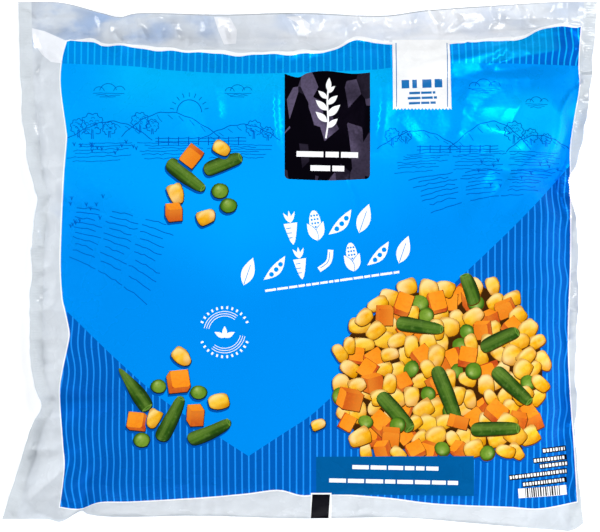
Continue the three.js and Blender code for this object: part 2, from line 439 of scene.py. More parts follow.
def rim_height(across, up):
    """Height of the rim's middle plane, lower towards the corners, with the seals' ruffles."""
    along_side = np.maximum(np.sin(math.pi * up), 0) ** RIM_ROUNDNESS
    along_end = np.maximum(np.sin(math.pi * across), 0) ** RIM_ROUNDNESS
    side = RIM_HEIGHT["left"] + (RIM_HEIGHT["right"] - RIM_HEIGHT["left"]) * across
    end = RIM_HEIGHT["bottom"] + (RIM_HEIGHT["top"] - RIM_HEIGHT["bottom"]) * up
    level = (side * along_side + end * along_end) / np.maximum(along_side + along_end, 1e-6)
    near_seal = np.abs(2 * across - 1) ** RUFFLE_NARROWNESS
    ruffle = RUFFLE_HEIGHT * near_seal * along_side * np.sin(TAU * up * HEIGHT / RUFFLE_PITCH)
    reach = np.maximum(along_side, along_end)
    return RIM_HEIGHT["corner"] + (level - RIM_HEIGHT["corner"]) * reach + ruffle


def fold_height(x, y):
    """Height that the deep folds add at places seen from above."""
    total = np.zeros_like(x)
    for start, end, half_width, peak in FOLDS:
        run = np.subtract(end, start)
        along = np.clip(((x - start[0]) * run[0] + (y - start[1]) * run[1]) / (run @ run), 0, 1)
        away = np.hypot(x - start[0] - along * run[0], y - start[1] - along * run[1]) / half_width
        away = (np.hypot(away, FOLD_ROUNDING) - FOLD_ROUNDING) / (math.hypot(1, FOLD_ROUNDING) - FOLD_ROUNDING)
        total += peak * np.clip(1 - away, 0, 1) ** FOLD_SHARPNESS * np.sin(math.pi * along) ** FOLD_ENDS
    return total


def noise(x, y, seed):
    """Smooth random values from 0 to 1, one new value for each unit of x and y."""
    table = np.random.default_rng(seed).random((256, 256))
    column, row = np.floor(x).astype(int), np.floor(y).astype(int)
    u, v = x - column, y - row
    u, v = u ** 3 * (u * (6 * u - 15) + 10), v ** 3 * (v * (6 * v - 15) + 10)
    near = table[column % 256, row % 256] * (1 - u) + table[(column + 1) % 256, row % 256] * u
    far = table[column % 256, (row + 1) % 256] * (1 - u) + table[(column + 1) % 256, (row + 1) % 256] * u
    return near * (1 - v) + far * v


def ridged(x, y, seed):
    """Random crests, from 0 in the hollows to nearly 1 on the crest lines."""
    return 1 - np.hypot(2 * noise(x, y, seed) - 1, CREST_ROUNDING)


def crease_height(x, y):
    """Height that the sharp creases add at places seen from above."""
    total = np.zeros_like(x)
    for places, left_width, right_width, peak in CREASES:
        line, reach = Line(places).every(CREASE_STEP), max(left_width, right_width)
        near = (x > line[:, 0].min() - reach) & (x < line[:, 0].max() + reach)
        near &= (y > line[:, 1].min() - reach) & (y < line[:, 1].max() + reach)
        px, py = x[near], y[near]
        nearest, share, width = np.full(px.shape, np.inf), np.zeros(px.shape), np.ones(px.shape)
        for step in range(len(line) - 1):
            run = line[step + 1] - line[step]
            from_x, from_y = px - line[step, 0], py - line[step, 1]
            along = np.clip((from_x * run[0] + from_y * run[1]) / (run @ run), 0, 1)
            away = np.hypot(from_x - along * run[0], from_y - along * run[1])
            on_left = run[0] * from_y > run[1] * from_x
            closer = away < nearest
            nearest[closer], share[closer] = away[closer], ((step + along) / (len(line) - 1))[closer]
            width[closer] = np.where(on_left, left_width, right_width)[closer]
        slope = np.clip(1 - nearest / width, 0, 1) ** CREASE_SHARPNESS
        total[near] += peak * slope * np.sin(math.pi * share) ** CREASE_ENDS
    return total


def wrinkle_height(x, y, across, up, seed):
    """Puckers that run in from the seals and the folded edges, and the film's crumple."""
    from_side = np.minimum(across, 1 - across) * WIDTH
    from_end = np.minimum(up, 1 - up) * HEIGHT
    other_side, other_end = np.where(across > 0.5, 40.0, 0.0), np.where(up > 0.5, 40.0, 0.0)

    pucker = SIDE_PUCKER
    past_seal = np.clip((from_side - 0.4 * SEAL_WIDTH) / (1.2 * SEAL_WIDTH), 0, 1)
    on_seal = PUCKER_ON_SEAL + (1 - PUCKER_ON_SEAL) * past_seal ** 2 * (3 - 2 * past_seal)
    fade = np.exp(-np.maximum(from_side - SEAL_WIDTH, 0) / pucker["reach"])
    fade = fade * np.clip(from_end / PUCKER_FADE, 0, 1)
    crests = ridged(other_side + from_side / pucker["length"], up * HEIGHT / pucker["pitch"], seed) - 0.5
    total = pucker["height"] * crests * fade * on_seal

    pucker = END_PUCKER
    fade = np.exp(-from_end / pucker["reach"]) * np.clip(from_end / END_FADE, 0, 1)
    crests = ridged(across * WIDTH / pucker["pitch"], other_end + from_end / pucker["length"], seed + 1) - 0.5
    total += pucker["height"] * crests * fade * np.clip(from_side / PUCKER_FADE, 0, 1)

    loose = np.exp(-np.minimum(from_side, from_end) / CRUMPLE_REACH)
    on_seal = np.clip(CRUMPLE_ON_SEAL + from_side / SEAL_WIDTH, 0, 1)
    for number, (pitch, at_edge, inside) in enumerate(CRUMPLES):
        height = inside + (at_edge - inside) * loose
        total += height * (ridged(x / pitch, y / pitch, seed + 2 + number) - 0.5) * on_seal
    return total


class HeightMap:
    """Heights and slopes of one side of the film, on a square grid seen from above."""

    def __init__(self, x, y, heights):
        self.low = (x[0], y[0])
        self.step = x[1] - x[0]
        self.heights = heights
        self.slopes = np.gradient(heights, self.step)

    def read(self, table, places):
        """Values of one table at places seen from above."""
        column = np.clip((places[:, 0] - self.low[0]) / self.step, 0, table.shape[1] - 1.001)
        row = np.clip((places[:, 1] - self.low[1]) / self.step, 0, table.shape[0] - 1.001)
        c, r = column.astype(int), row.astype(int)
        u, v = column - c, row - r
        near = table[r, c] * (1 - u) + table[r, c + 1] * u
        return near * (1 - v) + (table[r + 1, c] * (1 - u) + table[r + 1, c + 1] * u) * v

    def at(self, places):
        """Heights at places seen from above."""
        return self.read(self.heights, places)

    def normals(self, places, side, rib_slope):
        """Directions square to the film, side 1 on the front and -1 on the back."""
        slope_y, slope_x = (self.read(table, places) for table in self.slopes)
        normal = np.column_stack([-slope_x, -slope_y - rib_slope, np.ones(len(places))]) * side
        return normal / np.linalg.norm(normal, axis=1)[:, None]


def film_maps(settings):
    """Height maps of the front and the back."""
    x, y = (np.arange(-reach, reach, MAP_STEP) for reach in MAP_REACH)
    grid_x, grid_y = np.meshgrid(x, y)
    across, up = film_shares(grid_x, grid_y)
    share, rim = fullness(across, up), rim_height(across, up)
    swell = np.abs(np.sin(math.pi * POUCH_COLUMNS * across) * np.sin(math.pi * POUCH_ROWS * up)) - 0.5
    relief = (POUCH_SWELL * swell + fold_height(grid_x, grid_y)) * np.minimum(share * 3, 1)
    fine = crease_height(grid_x, grid_y) * settings.crease_share
    fine += wrinkle_height(grid_x, grid_y, across, up, settings.seed) * settings.pucker_share
    half = settings.film_thickness / MM / 2
    front = rim + half + FRONT_RISE * share + relief + fine
    own = BACK_CRUMPLE
    wrinkles = wrinkle_height(grid_x + own["shift"], grid_y, across, up, settings.seed + own["seed"])
    wrinkles = wrinkles * settings.pucker_share * own["share"] + own["lift"]
    back = np.maximum(rim - half - BACK_DROP * share + wrinkles, settings.seam_thickness / MM)
    return HeightMap(x, y, np.maximum(front, back + 2 * half)), HeightMap(x, y, back)


class Shape:
    """One printed shape: its ink, its outline, and the frame that its shading is measured in."""

    def __init__(self, ink, outline, middle=(0, 0), angle=0, half=(1, 1), tone=0.5, within=None):
        self.ink = ink
        self.outline = np.asarray(outline, float)
        self.middle, self.angle, self.half = middle, angle, half
        self.tone, self.within = tone, within


def turned(outline, angle, middle=(0, 0)):
    """An outline turned about its own origin and set down at a place."""
    c, s = math.cos(angle), math.sin(angle)
    return np.asarray(outline, float) @ np.array([[c, s], [-s, c]]) + middle


def swollen(outline, by, drop=(0, 0)):
    """An outline grown about its middle by a distance, and dropped to one side."""
    middle = outline.mean(axis=0)
    away = outline - middle
    length = np.maximum(np.linalg.norm(away, axis=1)[:, None], 1e-6)
    return middle + away * (1 + by / length) + drop


def round_outline(half_x, half_y, points=16):
    """An ellipse."""
    turn = np.linspace(0, TAU, points + 1)[:-1]
    return np.column_stack([half_x * np.cos(turn), half_y * np.sin(turn)])


def settled(places, front_map, distance, level):
    """Where printed places lie on the raised film, when they were read off the rim's level from above."""
    there = places
    for _ in range(3):
        there = places * ((distance + level - front_map.at(there)) / distance)[:, None]
    return there


def pen_line(path, width):
    """Outline of a pen line of a given width along a path."""
    path = np.asarray(path, float)
    run = np.gradient(path, axis=0)
    side = np.column_stack([-run[:, 1], run[:, 0]]) / np.linalg.norm(run, axis=1)[:, None] * width / 2
    return np.vstack([path + side, (path - side)[::-1]])


def bar(x, y, length, height, slant=0, middle=(0, 0)):
    """A straight bar from x on, centred on y, in a row that slants about a middle."""
    low, high = y - height / 2, y + height / 2
    corners = [(x, low), (x + length, low), (x + length, high), (x, high)]
    return turned(corners, slant, middle)


def word_bars(ink, middle, width, height, slant, seed, within="field", gap=0.9, lengths=(1.8, 5.4)):
    """A row of plain bars of uneven length, as long as a line of small print."""
    rng = np.random.default_rng(seed)
    shapes, x = [], -width / 2
    while x < width / 2 - min(1.5, height * lengths[0]):
        length = min(rng.uniform(*lengths) * height, width / 2 - x)
        shapes.append(Shape(ink, bar(x, 0, length, height, slant, middle), within=within))
        x += length + gap * height
    return shapes


def field_shapes():
    """The blue field with its pale rim, the striped band along its top and the striped chevron below."""
    seals = []
    for line, inner in ((LEFT, SEAL_WIDTH / WIDTH), (RIGHT, 1 - SEAL_WIDTH / WIDTH)):
        up = np.linspace(0, 1, 120)
        outer = np.full(len(up), 0 if inner < 0.5 else 1)
        seals.append(np.vstack([place_on_film(outer, up), place_on_film(np.full(len(up), inner), up)[::-1]]))
    sides = [Line(edge).every(FIELD_STEP)[:-1] for edge in (FIELD_LEFT, FIELD_BOTTOM, FIELD_RIGHT, FIELD_TOP)]
    top = sides[-1]
    scallop = np.sin(top[:, 0] / 4.9) + 0.6 * np.sin(top[:, 0] / 2.7 + 1)
    top[1:, 1] += 0.5 * scallop[1:]
    outline = np.vstack(sides)
    # A strip of the rim's white along the field's top edge: a painted highlight on the crest of the crease there
    from_ends = np.minimum(top[:, 0] - top[-1, 0], top[0, 0] - top[:, 0])
    rise = RIDGE_HIGHLIGHT_WIDTH * (0.8 + 0.25 * np.sin(top[:, 0] / 7.3 + 2)) * np.clip(from_ends / 12, 0, 1)
    ridge = np.vstack([top - (0, 1), (top + np.column_stack([np.zeros(len(top)), rise]))[::-1]])
    share = np.linspace(0, 1, 200)
    # A darker strip along the film's top edge: painted shade in its fold
    fold = np.vstack([TOP.at(share) + (0, 0.1), TOP.at(share)[::-1] - (0, FOLD_SHADE_WIDTH)])
    band = np.vstack([Line(BAND_LOW).every(4), [(195, 175), (-165, 175)]])
    chevron = np.vstack([Line(CHEVRON_FALL).every(4)[:-1], Line(CHEVRON_RISE).every(4),
                         [(190, -170), (-165, -170)]])
    return [
        # Paler patches of bare film: painted highlights
        *(Shape("painted_glint", painted_glint) for painted_glint in PAINTED_GLINTS),
        *(Shape("seal", seal) for seal in seals),
        Shape("fold", fold),
        Shape("rim", swollen(outline, FIELD_RIM)),
        # Painted highlight along the crest above the field's top edge
        Shape("rim", ridge),
        Shape("field", outline),
        Shape("band", band, within="field"),
        Shape("chevron", chevron, within="field"),
    ]


def scene_shapes():
    """Pen drawing in a darker blue: hills, woods, field rows, a rail fence, clouds and a low sun."""
    rng = np.random.default_rng(17)
    shapes = []

    def draw(path, width=0.5):
        shapes.append(Shape("pen", pen_line(path, width), within="field"))

    def shaky(start, end, bow=0.0, wobble=0.25, width=0.5):
        count = max(int(math.hypot(end[0] - start[0], end[1] - start[1]) / 2.5), 2)
        share = np.linspace(0, 1, count + 1)
        path = np.array(start, float) + np.subtract(end, start) * share[:, None]
        path[:, 1] += bow * np.sin(math.pi * share) + rng.normal(0, wobble, len(share))
        draw(path, width)

    def hill(left, right, base, height, lean=0.5):
        share = np.linspace(0, 1, 26)
        x = left + (right - left) * share
        rise = height * np.sin(math.pi * share ** (0.6 + lean))
        draw(np.column_stack([x, base + rise + 0.4 * np.sin(share * 37)]))
        for number in range(7):
            at = 0.14 + 0.11 * number
            top = base + height * math.sin(math.pi * at ** (0.6 + lean)) - 1.4
            x = left + (right - left) * at
            shaky((x, top), (x + 3.2, top - 0.22 * height), width=0.35)

    def cloud(x, y, size):
        for number, (dx, radius) in enumerate(((-0.95, 0.5), (-0.1, 0.8), (0.95, 0.55))):
            turn = np.linspace(0.15 + 0.1 * number, math.pi - 0.2, 12)
            arc = (x + size * (dx + radius * np.cos(turn)), y + size * radius * np.sin(turn))
            draw(np.column_stack(arc), 0.4)
        for row in range(3):
            left, right = x - (1.5 - 0.3 * row) * size, x + (1.4 - 0.4 * row) * size
            shaky((left, y - 0.7 - 1.1 * row), (right, y - 0.9 - 1.1 * row), width=0.35)

    def tree(x, y, size):
        turn = np.linspace(-1.2, TAU - 1.9, 44)
        edge = size * (1 + 0.1 * np.sin(9 * turn + x) + 0.04 * np.sin(23 * turn))
        draw(np.column_stack([x + edge * np.cos(turn), y + size * 1.3 + edge * np.sin(turn)]))
        shaky((x - 0.5, y - 0.5), (x - 0.3, y + size * 0.9), wobble=0.05)
        shaky((x + 0.6, y - 0.5), (x + 0.4, y + size * 0.8), wobble=0.05)
        for _ in range(int(size * 2.2)):
            dx, dy = rng.uniform(-0.6, 0.6, 2) * size
            scallop = np.linspace(0.2, math.pi - 0.2, 6)
            leaves = (x + dx + 0.16 * size * np.cos(scallop), y + 1.3 * size + dy + 0.14 * size * np.sin(scallop))
            draw(np.column_stack(leaves), 0.35)

    def sun(x, y, radius):
        turn = np.linspace(0, math.pi, 18)
        draw(np.column_stack([x + radius * np.cos(turn), y + radius * np.sin(turn)]))
        for ray in np.linspace(0.2, math.pi - 0.2, 9):
            tip = np.array([math.cos(ray), math.sin(ray)])
            draw([np.array([x, y]) + tip * radius * 1.25, np.array([x, y]) + tip * radius * 1.6], 0.45)

    def fence(left, right, y, height):
        for x in np.arange(left, right, 6.5):
            draw([(x, y - 0.5), (x + 0.1, y + height)], 0.6)
        for share in (0.35, 0.8):
            shaky((left - 2, y + height * share), (right - 1, y + height * share + 0.4), wobble=0.15)

    def tufts(left, right, low, high, count):
        for _ in range(count):
            x, y = rng.uniform(left, right), rng.uniform(low, high)
            for lean in (-0.9, -0.2, 0.7):
                draw([(x, y), (x + lean * 0.5, y + 1.4), (x + lean * 1.4, y + 2.6)], 0.35)

    def rows(near, far, count, bow, width=0.5):
        for number in range(count):
            share = (number / (count - 1)) ** 0.8
            start = np.array(near[0]) + np.subtract(near[1], near[0]) * share
            end = np.array(far[0]) + np.subtract(far[1], far[0]) * share
            for piece in range(3):
                cut, stop = piece / 3 + rng.uniform(0, 0.06), (piece + 1) / 3 - rng.uniform(0, 0.1)
                a, b = start + (end - start) * cut, start + (end - start) * stop
                rise = bow * np.sin(math.pi * np.array([cut, stop]))
                shaky((a[0], a[1] + rise[0]), (b[0], b[1] + rise[1]), bow * 0.1, 0.3, width)

    hill(-153, -96, 82, 12)
    hill(-116, -52, 84, 16, 0.3)
    hill(-66, -13, 82, 10)
    for x, y, size in ((-144, 84, 5), (-135, 83, 7), (-124, 84, 4.2), (-104, 87, 5.5), (-96, 86, 4), (-30, 83, 5),
                       (-21, 82, 3.6)):
        tree(x, y, size)
    sun(-72, 100, 8)
    cloud(-124, 113, 7)
    cloud(-40, 113, 6)
    fence(-92, -34, 79, 5)
    tufts(-150, -96, 72, 80, 14)
    rows([(-152, 67), (-152, 79)], [(-16, 70), (-16, 78)], 6, 1.5, 0.4)
    hill(50, 104, 76, 12, 0.4)
    hill(96, 150, 76, 18)
    hill(134, 178, 74, 11, 0.3)
    for x, y, size in ((60, 79, 4.5), (69, 80, 3.4), (139, 80, 6), (150, 79, 4.4), (160, 78, 3.4)):
        tree(x, y, size)
    cloud(120, 116, 7)
    cloud(154, 106, 5)
    fence(78, 130, 74, 4.5)
    rows([(58, 60), (64, 72)], [(173, 62), (170, 73)], 7, 2, 0.4)
    rows([(84, 34), (70, 56)], [(152, 46), (170, 60)], 8, 4)
    tufts(100, 168, 50, 70, 12)
    rows([(-150, 6), (-149, 38)], [(-98, -26), (-80, 24)], 10, 3)
    tufts(-150, -128, 20, 44, 12)
    return shapes


def label_shapes():
    """The black label, the white tag with its pinked hem, the net weight panel and the eye mark."""
    box = LABEL
    top = Line(LABEL_TOP).every(1.5)
    corner = []
    for side, inward, start in ((box["left"], 1, math.pi), (box["right"], -1, 1.5 * math.pi)):
        turn = np.linspace(start, start + math.pi / 2, 6)
        corner.append(np.column_stack([
            side + inward * box["corner"] + box["corner"] * np.cos(turn),
            box["bottom"] + box["corner"] + box["corner"] * np.sin(turn),
        ]))
    middle_x = (box["left"] + box["right"]) / 2
    sag = [corner[0][-1], (middle_x, box["bottom"] - LABEL_SAG), corner[1][0]]
    shapes = [Shape("label", np.vstack([top, corner[0], Line(sag).every(3)[1:-1], corner[1]]))]
    middle = (middle_x, (box["top"] + box["bottom"]) / 2 + 10)
    shapes += sprig_shapes(middle, 18)
    for drop, width in LABEL_ROWS:
        place = (middle[0], box["bottom"] + 33 - drop)
        shapes += word_bars("white_ink", place, width, 3.6, -0.02, drop, "label", 0.4)

    tag = TAG
    teeth = int((tag["right"] - tag["left"]) / tag["pitch"])
    x = np.linspace(tag["left"], tag["right"], 2 * teeth + 1)
    hem = np.column_stack([x, tag["bottom"] + tag["tooth"] * (np.arange(len(x)) % 2)])
    top = [(tag["right"] - 1.5, tag["top"]), (tag["left"] - 0.5, tag["top"])]
    shapes.append(Shape("tag", np.vstack([hem, top])))
    for side in (tag["left"] + 2.3, tag["right"] - 2.6):
        seam = [(side - 0.4, tag["top"] - 2), (side, tag["bottom"] + 2)]
        shapes.append(Shape("tag_blue", pen_line(seam, 0.55)))
    middle_x = (tag["left"] + tag["right"]) / 2
    for x, length in TAG_MARKS["marks"]:
        mark = bar(x, 0, length, TAG_MARKS["height"], TAG_SLANT, (middle_x, TAG_MARKS["level"]))
        shapes.append(Shape("tag_blue", mark, within="tag"))
    for row, width in enumerate(TAG_ROWS["widths"]):
        place = (middle_x, TAG_ROWS["level"] - TAG_ROWS["pitch"] * row)
        shapes += word_bars("tag_blue", place, width, TAG_ROWS["height"], TAG_SLANT, 40 + row, "tag", 0.4)

    net = NET_PANEL
    panel = [(net["left"], net["bottom"] + 1), (net["right"], net["bottom"]), (net["right"], net["top"]),
             (net["left"], net["top"] - 0.5)]
    shapes.append(Shape("net_panel", panel))
    for level, width in NET_ROWS["rows"]:
        place = (NET_ROWS["middle"], level)
        shapes += word_bars("white_ink", place, width, NET_ROWS["height"], -0.02, int(-level), "net_panel", 0.45)

    eye = EYE_MARK
    left, right = eye["left"] - eye["rim"], eye["right"] + eye["rim"]
    outer = [(left, eye["bottom"]), (right, eye["bottom"]),
             (right, eye["top"] + eye["rim"]), (left, eye["top"] + eye["rim"])]
    inner = [(eye["left"] - 1, eye["bottom"]), (eye["right"] - 1, eye["bottom"]),
             (eye["right"], eye["top"]), (eye["left"], eye["top"])]
    return shapes + [Shape("tag", outer), Shape("black_ink", inner)]


def leaf_outline(length, width, points=9):
    """A pointed leaf from its stalk at the origin along x."""
    share = np.linspace(0, 1, points)
    edge = width / 2 * np.sin(math.pi * share ** 0.85)
    other = np.column_stack([share * length, -edge])
    return np.vstack([np.column_stack([share * length, edge]), other[::-1][1:-1]])


def sprig_shapes(middle, size):
    """A plain sprig of paired leaves in white ink."""
    stem = Line([(-1, -size), (0.5, -size * 0.4), (0, size * 0.3), (0.6, size * 0.75)]).every(2) + middle
    shapes = [Shape("white_ink", pen_line(stem, 1.1), within="label")]
    for number in range(7):
        side = -1 if number % 2 else 1
        height = -0.62 + 0.21 * number
        length = size * (0.62 - 0.06 * abs(number - 2))
        foot = (middle[0], middle[1] + height * size)
        leaf = turned(leaf_outline(length, length * 0.42), math.pi / 2 - side * 0.85, foot)
        shapes.append(Shape("white_ink", leaf, within="label"))
    tip = turned(leaf_outline(size * 0.5, size * 0.2), 1.5, (middle[0] + 0.6, middle[1] + size * 0.7))
    return shapes + [Shape("white_ink", tip, within="label")]


def ornament(kind, size):
    """One small white vegetable sign, about its own middle: pairs of ink and outline."""
    half = size / 2
    if kind == "carrot":
        share = np.linspace(0, 1, 9)
        edge = half * 0.42 * (1 - share) ** 0.6
        body = np.column_stack([edge, half * 0.35 - share * half * 1.35])
        root = np.vstack([body, (body * (-1, 1))[::-1]])
        tops = [turned(leaf_outline(half * 0.75, half * 0.2), math.pi / 2 + turn, (0, half * 0.38))
                for turn in (-0.5, 0, 0.5)]
        rings = [bar(-half * 0.3, half * (0.05 - 0.3 * row), half * 0.32, 0.5) for row in range(3)]
        return [("white_ink", root), *(("white_ink", top) for top in tops), *(("field", ring) for ring in rings)]
    if kind == "cob":
        cob = round_outline(half * 0.36, half * 0.82, 18) + (0, half * 0.12)
        marks = [round_outline(half * 0.07, half * 0.07, 6) + (half * dx, half * dy)
                 for dx, dy in itertools.product((-0.18, 0, 0.18), (0.62, 0.38, 0.14, -0.1))]
        husks = [turned(leaf_outline(half * 1.25, half * 0.5), math.pi / 2 + side * 0.42, (0, -half * 0.95))
                 for side in (-1, 1)]
        gaps = [swollen(husk, 0.45) for husk in husks]
        parts = [("white_ink", cob), *(("field", mark) for mark in marks)]
        for gap, husk in zip(gaps, husks):
            parts += [("field", gap), ("white_ink", husk)]
        return parts
    if kind == "pod":
        share = np.linspace(0, 1, 13)
        x = (share - 0.5) * size * 1.05
        low, high = -half * 0.5 * np.sin(math.pi * share), half * 0.16 * np.sin(math.pi * share)
        pod = np.vstack([np.column_stack([x, low]), np.column_stack([x, high])[::-1][1:-1]])
        peas = [round_outline(half * 0.16, half * 0.16, 10) + (half * place, -half * 0.16 + abs(place) * 0.4)
                for place in (-0.44, 0, 0.44)]
        return [("white_ink", turned(pod, 0.7)), *(("field", turned(pea, 0.7)) for pea in peas)]
    if kind == "bean":
        path = Line([(-half * 0.75, half * 0.1), (0, -half * 0.18), (half * 0.75, half * 0.1)]).every(2)
        return [("white_ink", turned(pen_line(path, half * 0.36), 0.9)),
                ("field", turned(pen_line(path * 0.8, 0.45), 0.9))]
    foot = (-size * 0.22, -size * 0.42)
    leaf = turned(leaf_outline(size * 0.95, size * 0.42), 1.1, foot)
    rib = turned([(0.6, -0.25), (size * 0.7, -0.2), (size * 0.7, 0.2), (0.6, 0.25)], 1.1, foot)
    return [("white_ink", leaf), ("field", rib)]


def ornament_shapes():
    """Two slanting rows of vegetable signs, a row of plain bars under them, and a ring."""
    shapes = []
    for row in ORNAMENT_ROWS:
        for number, kind in enumerate(row["kinds"]):
            along = (number - (len(row["kinds"]) - 1) / 2) * row["pitch"]
            place = turned([(along, 0)], ORNAMENT_SLANT, row["middle"])[0]
            for ink, outline in ornament(kind, row["size"]):
                shapes.append(Shape(ink, turned(outline, ORNAMENT_SLANT, place), within="field"))
    bars = ORNAMENT_BARS
    shapes += word_bars("white_ink", bars["middle"], bars["width"], bars["height"], ORNAMENT_SLANT, 5, "field", 0.5)
    middle = np.array(RING["middle"])
    for radius in RING["radii"]:
        for start in (RING["gap"], RING["gap"] + math.pi):
            turn = np.linspace(start, start + math.pi - 1.1, 14)
            arc = np.column_stack([np.cos(turn), np.sin(turn)]) * radius + middle
            shapes.append(Shape("white_ink", pen_line(arc, 0.4), within="field"))
    for turn in np.arange(0, TAU, TAU / RING["rays"]):
        if abs(math.sin(turn)) > 0.35:
            mark = turned([(-0.6, -0.9), (0.6, -0.9), (0.6, 0.9), (-0.6, 0.9)], turn + math.pi / 2,
                          middle + RING["ray_radius"] * np.array([math.cos(turn), math.sin(turn)]))
            shapes.append(Shape("white_ink", mark, within="field"))
    for turn in (0.5, 1.57, 2.64):
        leaf = turned(leaf_outline(7.5, 3.2), turn, middle - (0, 3.5))
        shapes.append(Shape("white_ink", leaf, within="field"))
    return shapes


def small_print_shapes():
    """Rows of dark-edged bars and a strip of plain upright bars, low on the right."""
    shapes = []
    backing, bars = SMALL_PRINT_HEIGHTS["backing"], SMALL_PRINT_HEIGHTS["bars"]
    for x, y, width in SMALL_PRINT_ROWS:
        dark = bar(-width / 2 - 0.5, 0, width + 1, backing, SMALL_PRINT_SLANT, (x, y))
        shapes.append(Shape("black_ink", dark, within="field"))
        shapes += word_bars("tag", (x, y), width, bars, SMALL_PRINT_SLANT, int(-y), "field", 0.34, (0.3, 0.8))
    half, place = STRIP["half"], (STRIP["height"], STRIP["slant"], STRIP["middle"])
    shapes.append(Shape("tag", bar(-half, 0, 2 * half, *place)))
    rng = np.random.default_rng(3)
    x = STRIP["blank"] - half
    while x < half - STRIP["blank"]:
        thick = rng.uniform(0.4, 1.2)
        shapes.append(Shape("black_ink", bar(x, 0, thick, *place)))
        x += thick + rng.uniform(0.4, 1.0)
    return shapes


def kernel_shapes(rng, middle, angle, length):
    """A corn kernel: a broad crown and a narrow cut tip. Its tone tells its shading how it is turned."""
    width = rng.uniform(0.72, 1.0)
    marks = np.array(KERNEL_OUTLINE) * (1, width) * (1 + rng.normal(0, 0.05, (len(KERNEL_OUTLINE), 1)))
    edge = through(np.vstack([marks, marks[:1]]), np.linspace(0, 1, 19)[:-1]) * length / 2
    half = (length / 2, length / 2 * 0.85 * width)
    return [Shape("corn", turned(edge, angle, middle), middle, angle, half, angle / TAU % 1)]


def pea_shapes(rng, middle, angle, radius):
    """A pea, a little flattened."""
    edge = round_outline(radius, radius * rng.uniform(0.8, 0.97), 14) * (1 + rng.normal(0, 0.02, (14, 1)))
    return [Shape("pea", turned(edge, angle, middle), middle, angle, (radius, radius), rng.random())]


def carrot_shapes(rng, middle, angle, size):
    """A carrot dice, seen from above and a little from one side: its outline, then the faces that show."""
    shares = np.array([rng.uniform(0.85, 1.15), rng.uniform(0.85, 1.1), rng.uniform(0.8, 1.1)])
    turn = Euler((rng.uniform(-0.55, 0.55), rng.uniform(-0.45, 0.45), angle)).to_matrix()
    signs_of = list(itertools.product((-1, 1), repeat=3))
    corners = [turn @ Vector(np.array(signs) * shares * size / 2) for signs in signs_of]
    flat = [Vector(corner[:2]) for corner in corners]
    hull = np.array([flat[number][:] for number in geometry.convex_hull_2d(flat)]) + middle
    shapes = [Shape("carrot", hull, middle, angle, (size / 2, size / 2), 0.1)]
    for axis, sign in itertools.product(range(3), (-1, 1)):
        normal = turn @ Vector([sign if number == axis else 0 for number in range(3)])
        if normal.z < 0.12:
            continue
        face = [corner for corner, signs in zip(flat, signs_of) if signs[axis] == sign]
        ring = np.array([face[number][:] for number in (0, 1, 3, 2)])
        ring = np.vstack([ring * 0.9 + np.roll(ring, step, axis=0) * 0.1 for step in (1, -1)])
        ring = ring.reshape(2, 4, 2).transpose(1, 0, 2).reshape(8, 2) + middle
        shade = max(normal.dot(LIGHT_SIDE), 0) ** 1.8 * rng.uniform(0.8, 1)
        shapes.append(Shape("carrot", ring, ring.mean(axis=0), angle, (size / 2, size / 2), 0.1 + 0.9 * shade))
    return shapes


def bean_shapes(rng, middle, angle, length, pointed=False):
    """A cut length of green bean: one tapering end, one end cut across that shows its pith."""
    width, taper = rng.uniform(8.2, 9.8), rng.uniform(0.06, 0.26)
    share = -np.cos(np.linspace(0, math.pi, 19))
    half = width / 2 * (1 - taper * share) * np.maximum(1 - np.abs(share) ** 7, 0) ** 0.5
    if pointed:
        taper = -0.2
        half = width / 2 * np.minimum(0.3 + 0.7 * (share + 1), 1.2)
        half = half * np.maximum(1 - np.abs(share) ** 9, 0) ** 0.5
    bend = rng.uniform(-1.2, 1.2) * (1 - share ** 2)
    x = share * length / 2
    edge = np.vstack([np.column_stack([x, bend + half]), np.column_stack([x, bend - half])[::-1][1:-1]])
    shapes = [Shape("bean", turned(edge, angle, middle), middle, angle, (length / 2, width / 2), angle / TAU % 1)]
    end = turned([(length / 2 * 0.91, 0)], angle, middle)[0]
    half = (width * 0.1, width * 0.4 * (1 - taper))
    return shapes + [Shape("pith", turned(round_outline(*half, 12), angle, end), end, angle, half, rng.random())]


def bean_tip_shapes(rng, middle, angle, length):
    """The pointed end of a green bean."""
    return bean_shapes(rng, middle, angle, length, True)


MAKERS = {
    "corn": kernel_shapes, "pea": pea_shapes, "carrot": carrot_shapes, "bean": bean_shapes,
    "bean_tip": bean_tip_shapes,
}


def piece_shapes(kind, rng, middle, angle, size, loose):
    """One vegetable with its dark edge, and with its shade on the field if it lies loose."""
    made = MAKERS[kind](rng, middle, angle, size)
    body = made[0].outline
    under = [Shape("edge", swollen(body, 0.45 if loose else 0.38, (0.1, -0.35)), tone=1.0 if loose else 0.0)]
    if loose:
        under.insert(0, Shape("shade", swollen(body, 0.5, (-0.5, -1.7)), within="field"))
    return under + made


